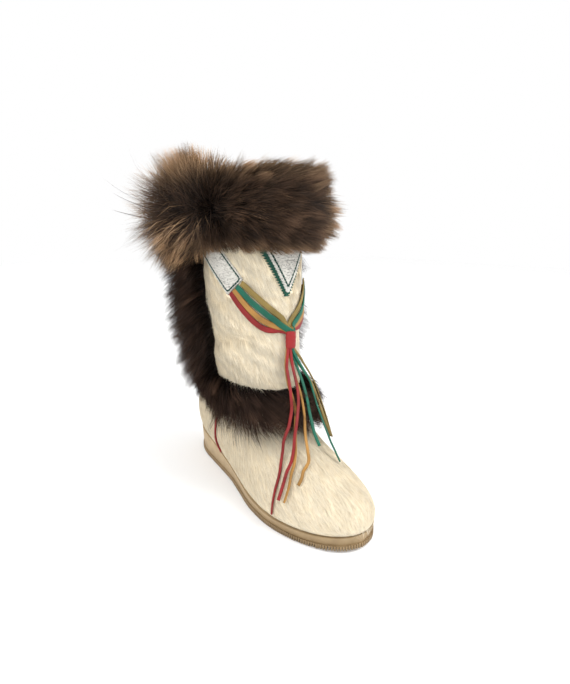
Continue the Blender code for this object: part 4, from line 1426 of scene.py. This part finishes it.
def strand_lines():
    """Centres and across directions of the tassel's hanging ends, from -X to +X."""
    copy = merged_copy("tassel", "tassel_copy")
    wrap_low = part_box("tassel")[1].z - WRAP_HEIGHT
    kept = [v.index for v in copy.data.vertices if v.co.z < wrap_low - 0.0005]
    number = {index: place for place, index in enumerate(kept)}
    points = coordinates(copy.data.vertices[index] for index in kept)
    edges = [
        (number[e.vertices[0]], number[e.vertices[1]]) for e in copy.data.edges
        if e.vertices[0] in number and e.vertices[1] in number
    ]
    bpy.data.objects.remove(copy)
    strands = [section_line(points[group], STRAND_SECTION) for group in islands(points, edges)]
    strands = [strand for strand in strands if len(strand[0]) > 4]
    return sorted(strands, key=lambda strand: strand[0][-1][0])


def make_strands(joint):
    """Hanging ends of the thongs, as cords that start inside the wrap."""
    for index, (centres, across) in enumerate(strand_lines()):
        colour = STRAND_COLOURS[index]
        start = centres[0] + (centres[0] - centres[1]) * 0.8
        centres = np.vstack([start, centres])
        run = np.linspace(0.0, 1.0, len(centres))
        centres[:, 0] += STRAND_SHIFTS[index] * smooth_step(0.45, 1.0, run)
        centres[:, 0] += (joint[0] - centres[:, 0]) * 0.45 * (1.0 - smooth_step(0.0, 0.22, run))
        centres = raise_off_hide(centres, THONG_GAP)
        across = np.vstack([across[0], across])
        name = "strand_" + colour + "_" + "ab"[index % 2]
        item, line = leather_strip(
            name, centres, across, STRAND_WIDTH, THONG_THICKNESS, STRAND_TWISTS[index], colour
        )
        add(item, "tassel", slot=colour + "_leather")


def make_wrap(joint):
    """Red leather wound round the top of the strands."""
    rings = []
    for step in range(WRAP_STEPS + 1):
        share = step / WRAP_STEPS
        level = joint[2] - WRAP_HEIGHT * share
        bulge = 1.0 + 0.05 * abs(math.sin(math.pi * WRAP_TURNS * share)) - 0.10 * (2.0 * share - 1.0) ** 4
        rings.append([
            (joint[0] + 0.5 * WRAP_WIDTH * bulge * math.cos(angle),
             joint[1] + 0.5 * WRAP_DEPTH * bulge * math.sin(angle), level)
            for angle in (2.0 * math.pi * k / WRAP_SIDES for k in range(WRAP_SIDES))
        ])
    item = tube_mesh("wrap", rings, MATERIALS["wrap"])
    add(item, "tassel", slot="red_leather")


def floor_material():
    """White paper that glows a little, so that it runs into the white background."""
    white = (1.0, 1.0, 1.0, 1.0)
    return new_material(
        "floor_paper", Base_Color=(0.92, 0.92, 0.92, 1.0), Roughness=0.9, Emission_Color=white,
        Emission_Strength=FLOOR_GLOW,
    )[0]


def make_stage():
    """Pale floor and soft light."""
    bpy.ops.mesh.primitive_plane_add(size=FLOOR_SIZE, location=(0.0, 0.0, 0.0))
    floor = bpy.context.object
    floor.name = "floor"
    floor.data.materials.append(floor_material())
    world = bpy.data.worlds.new("studio")
    world.use_nodes = True
    background = world.node_tree.nodes["Background"]
    background.inputs["Color"].default_value = (1.0, 1.0, 1.0, 1.0)
    background.inputs["Strength"].default_value = 1.0
    bpy.context.scene.world = world
    for name, place, size, power in LAMPS:
        lamp = bpy.data.lights.new(name, "AREA")
        lamp.size = size
        lamp.energy = power
        item = bpy.data.objects.new(name, lamp)
        item.location = place
        aim = Vector(LAMPS_AIM) - item.location
        item.rotation_euler = aim.to_track_quat("-Z", "Y").to_euler()
        bpy.context.scene.collection.objects.link(item)
    bpy.context.scene.view_settings.view_transform = "Standard"


def make_camera():
    """Camera at the photograph's place and angle."""
    yaw, pitch, roll = (math.radians(angle) for angle in (CAMERA_YAW, CAMERA_PITCH, CAMERA_ROLL))
    ahead = Vector((math.sin(yaw) * math.cos(pitch), math.cos(yaw) * math.cos(pitch), -math.sin(pitch)))
    level = Vector((math.cos(yaw), -math.sin(yaw), 0.0))
    above = level.cross(ahead)
    right = level * math.cos(roll) + above * math.sin(roll)
    up = above * math.cos(roll) - level * math.sin(roll)
    data = bpy.data.cameras.new("photo")
    data.sensor_fit = "AUTO"
    data.sensor_width = SENSOR
    data.lens = LENS
    data.clip_start = CLIP_START
    item = bpy.data.objects.new("photo", data)
    turn = Matrix((right, up, -ahead)).transposed().to_4x4()
    place = Vector((SOLE_MIDDLE + CAMERA_SIDEWAYS, SOLE_HIGH.y - CAMERA_FROM_HEEL, CAMERA_HEIGHT))
    item.matrix_world = Matrix.Translation(place) @ turn
    bpy.context.scene.collection.objects.link(item)
    bpy.context.scene.camera = item


def paint(node, material):
    """Give a CAD part its looks."""
    NODES[node].data.materials.clear()
    NODES[node].data.materials.append(MATERIALS[material])


make_camera()
make_stage()
paint("outsole", "rubber")
paint("insole", "insole")
for part in ("piping_lateral", "piping_medial"):
    paint(part, "red")
make_patches()
make_tread()
wrap_joint = wrap_top()
make_thongs(wrap_joint)
make_strands(wrap_joint)
make_wrap(wrap_joint)
make_fur()
for number in range(2):
    short_source = np.random.default_rng(SEEDS["hide"] + number)
    short_hair = hide_hair("hide_hair_" + "ab"[number], HIDE_HAIRS, short_source)
    add(short_hair, slot="hide")
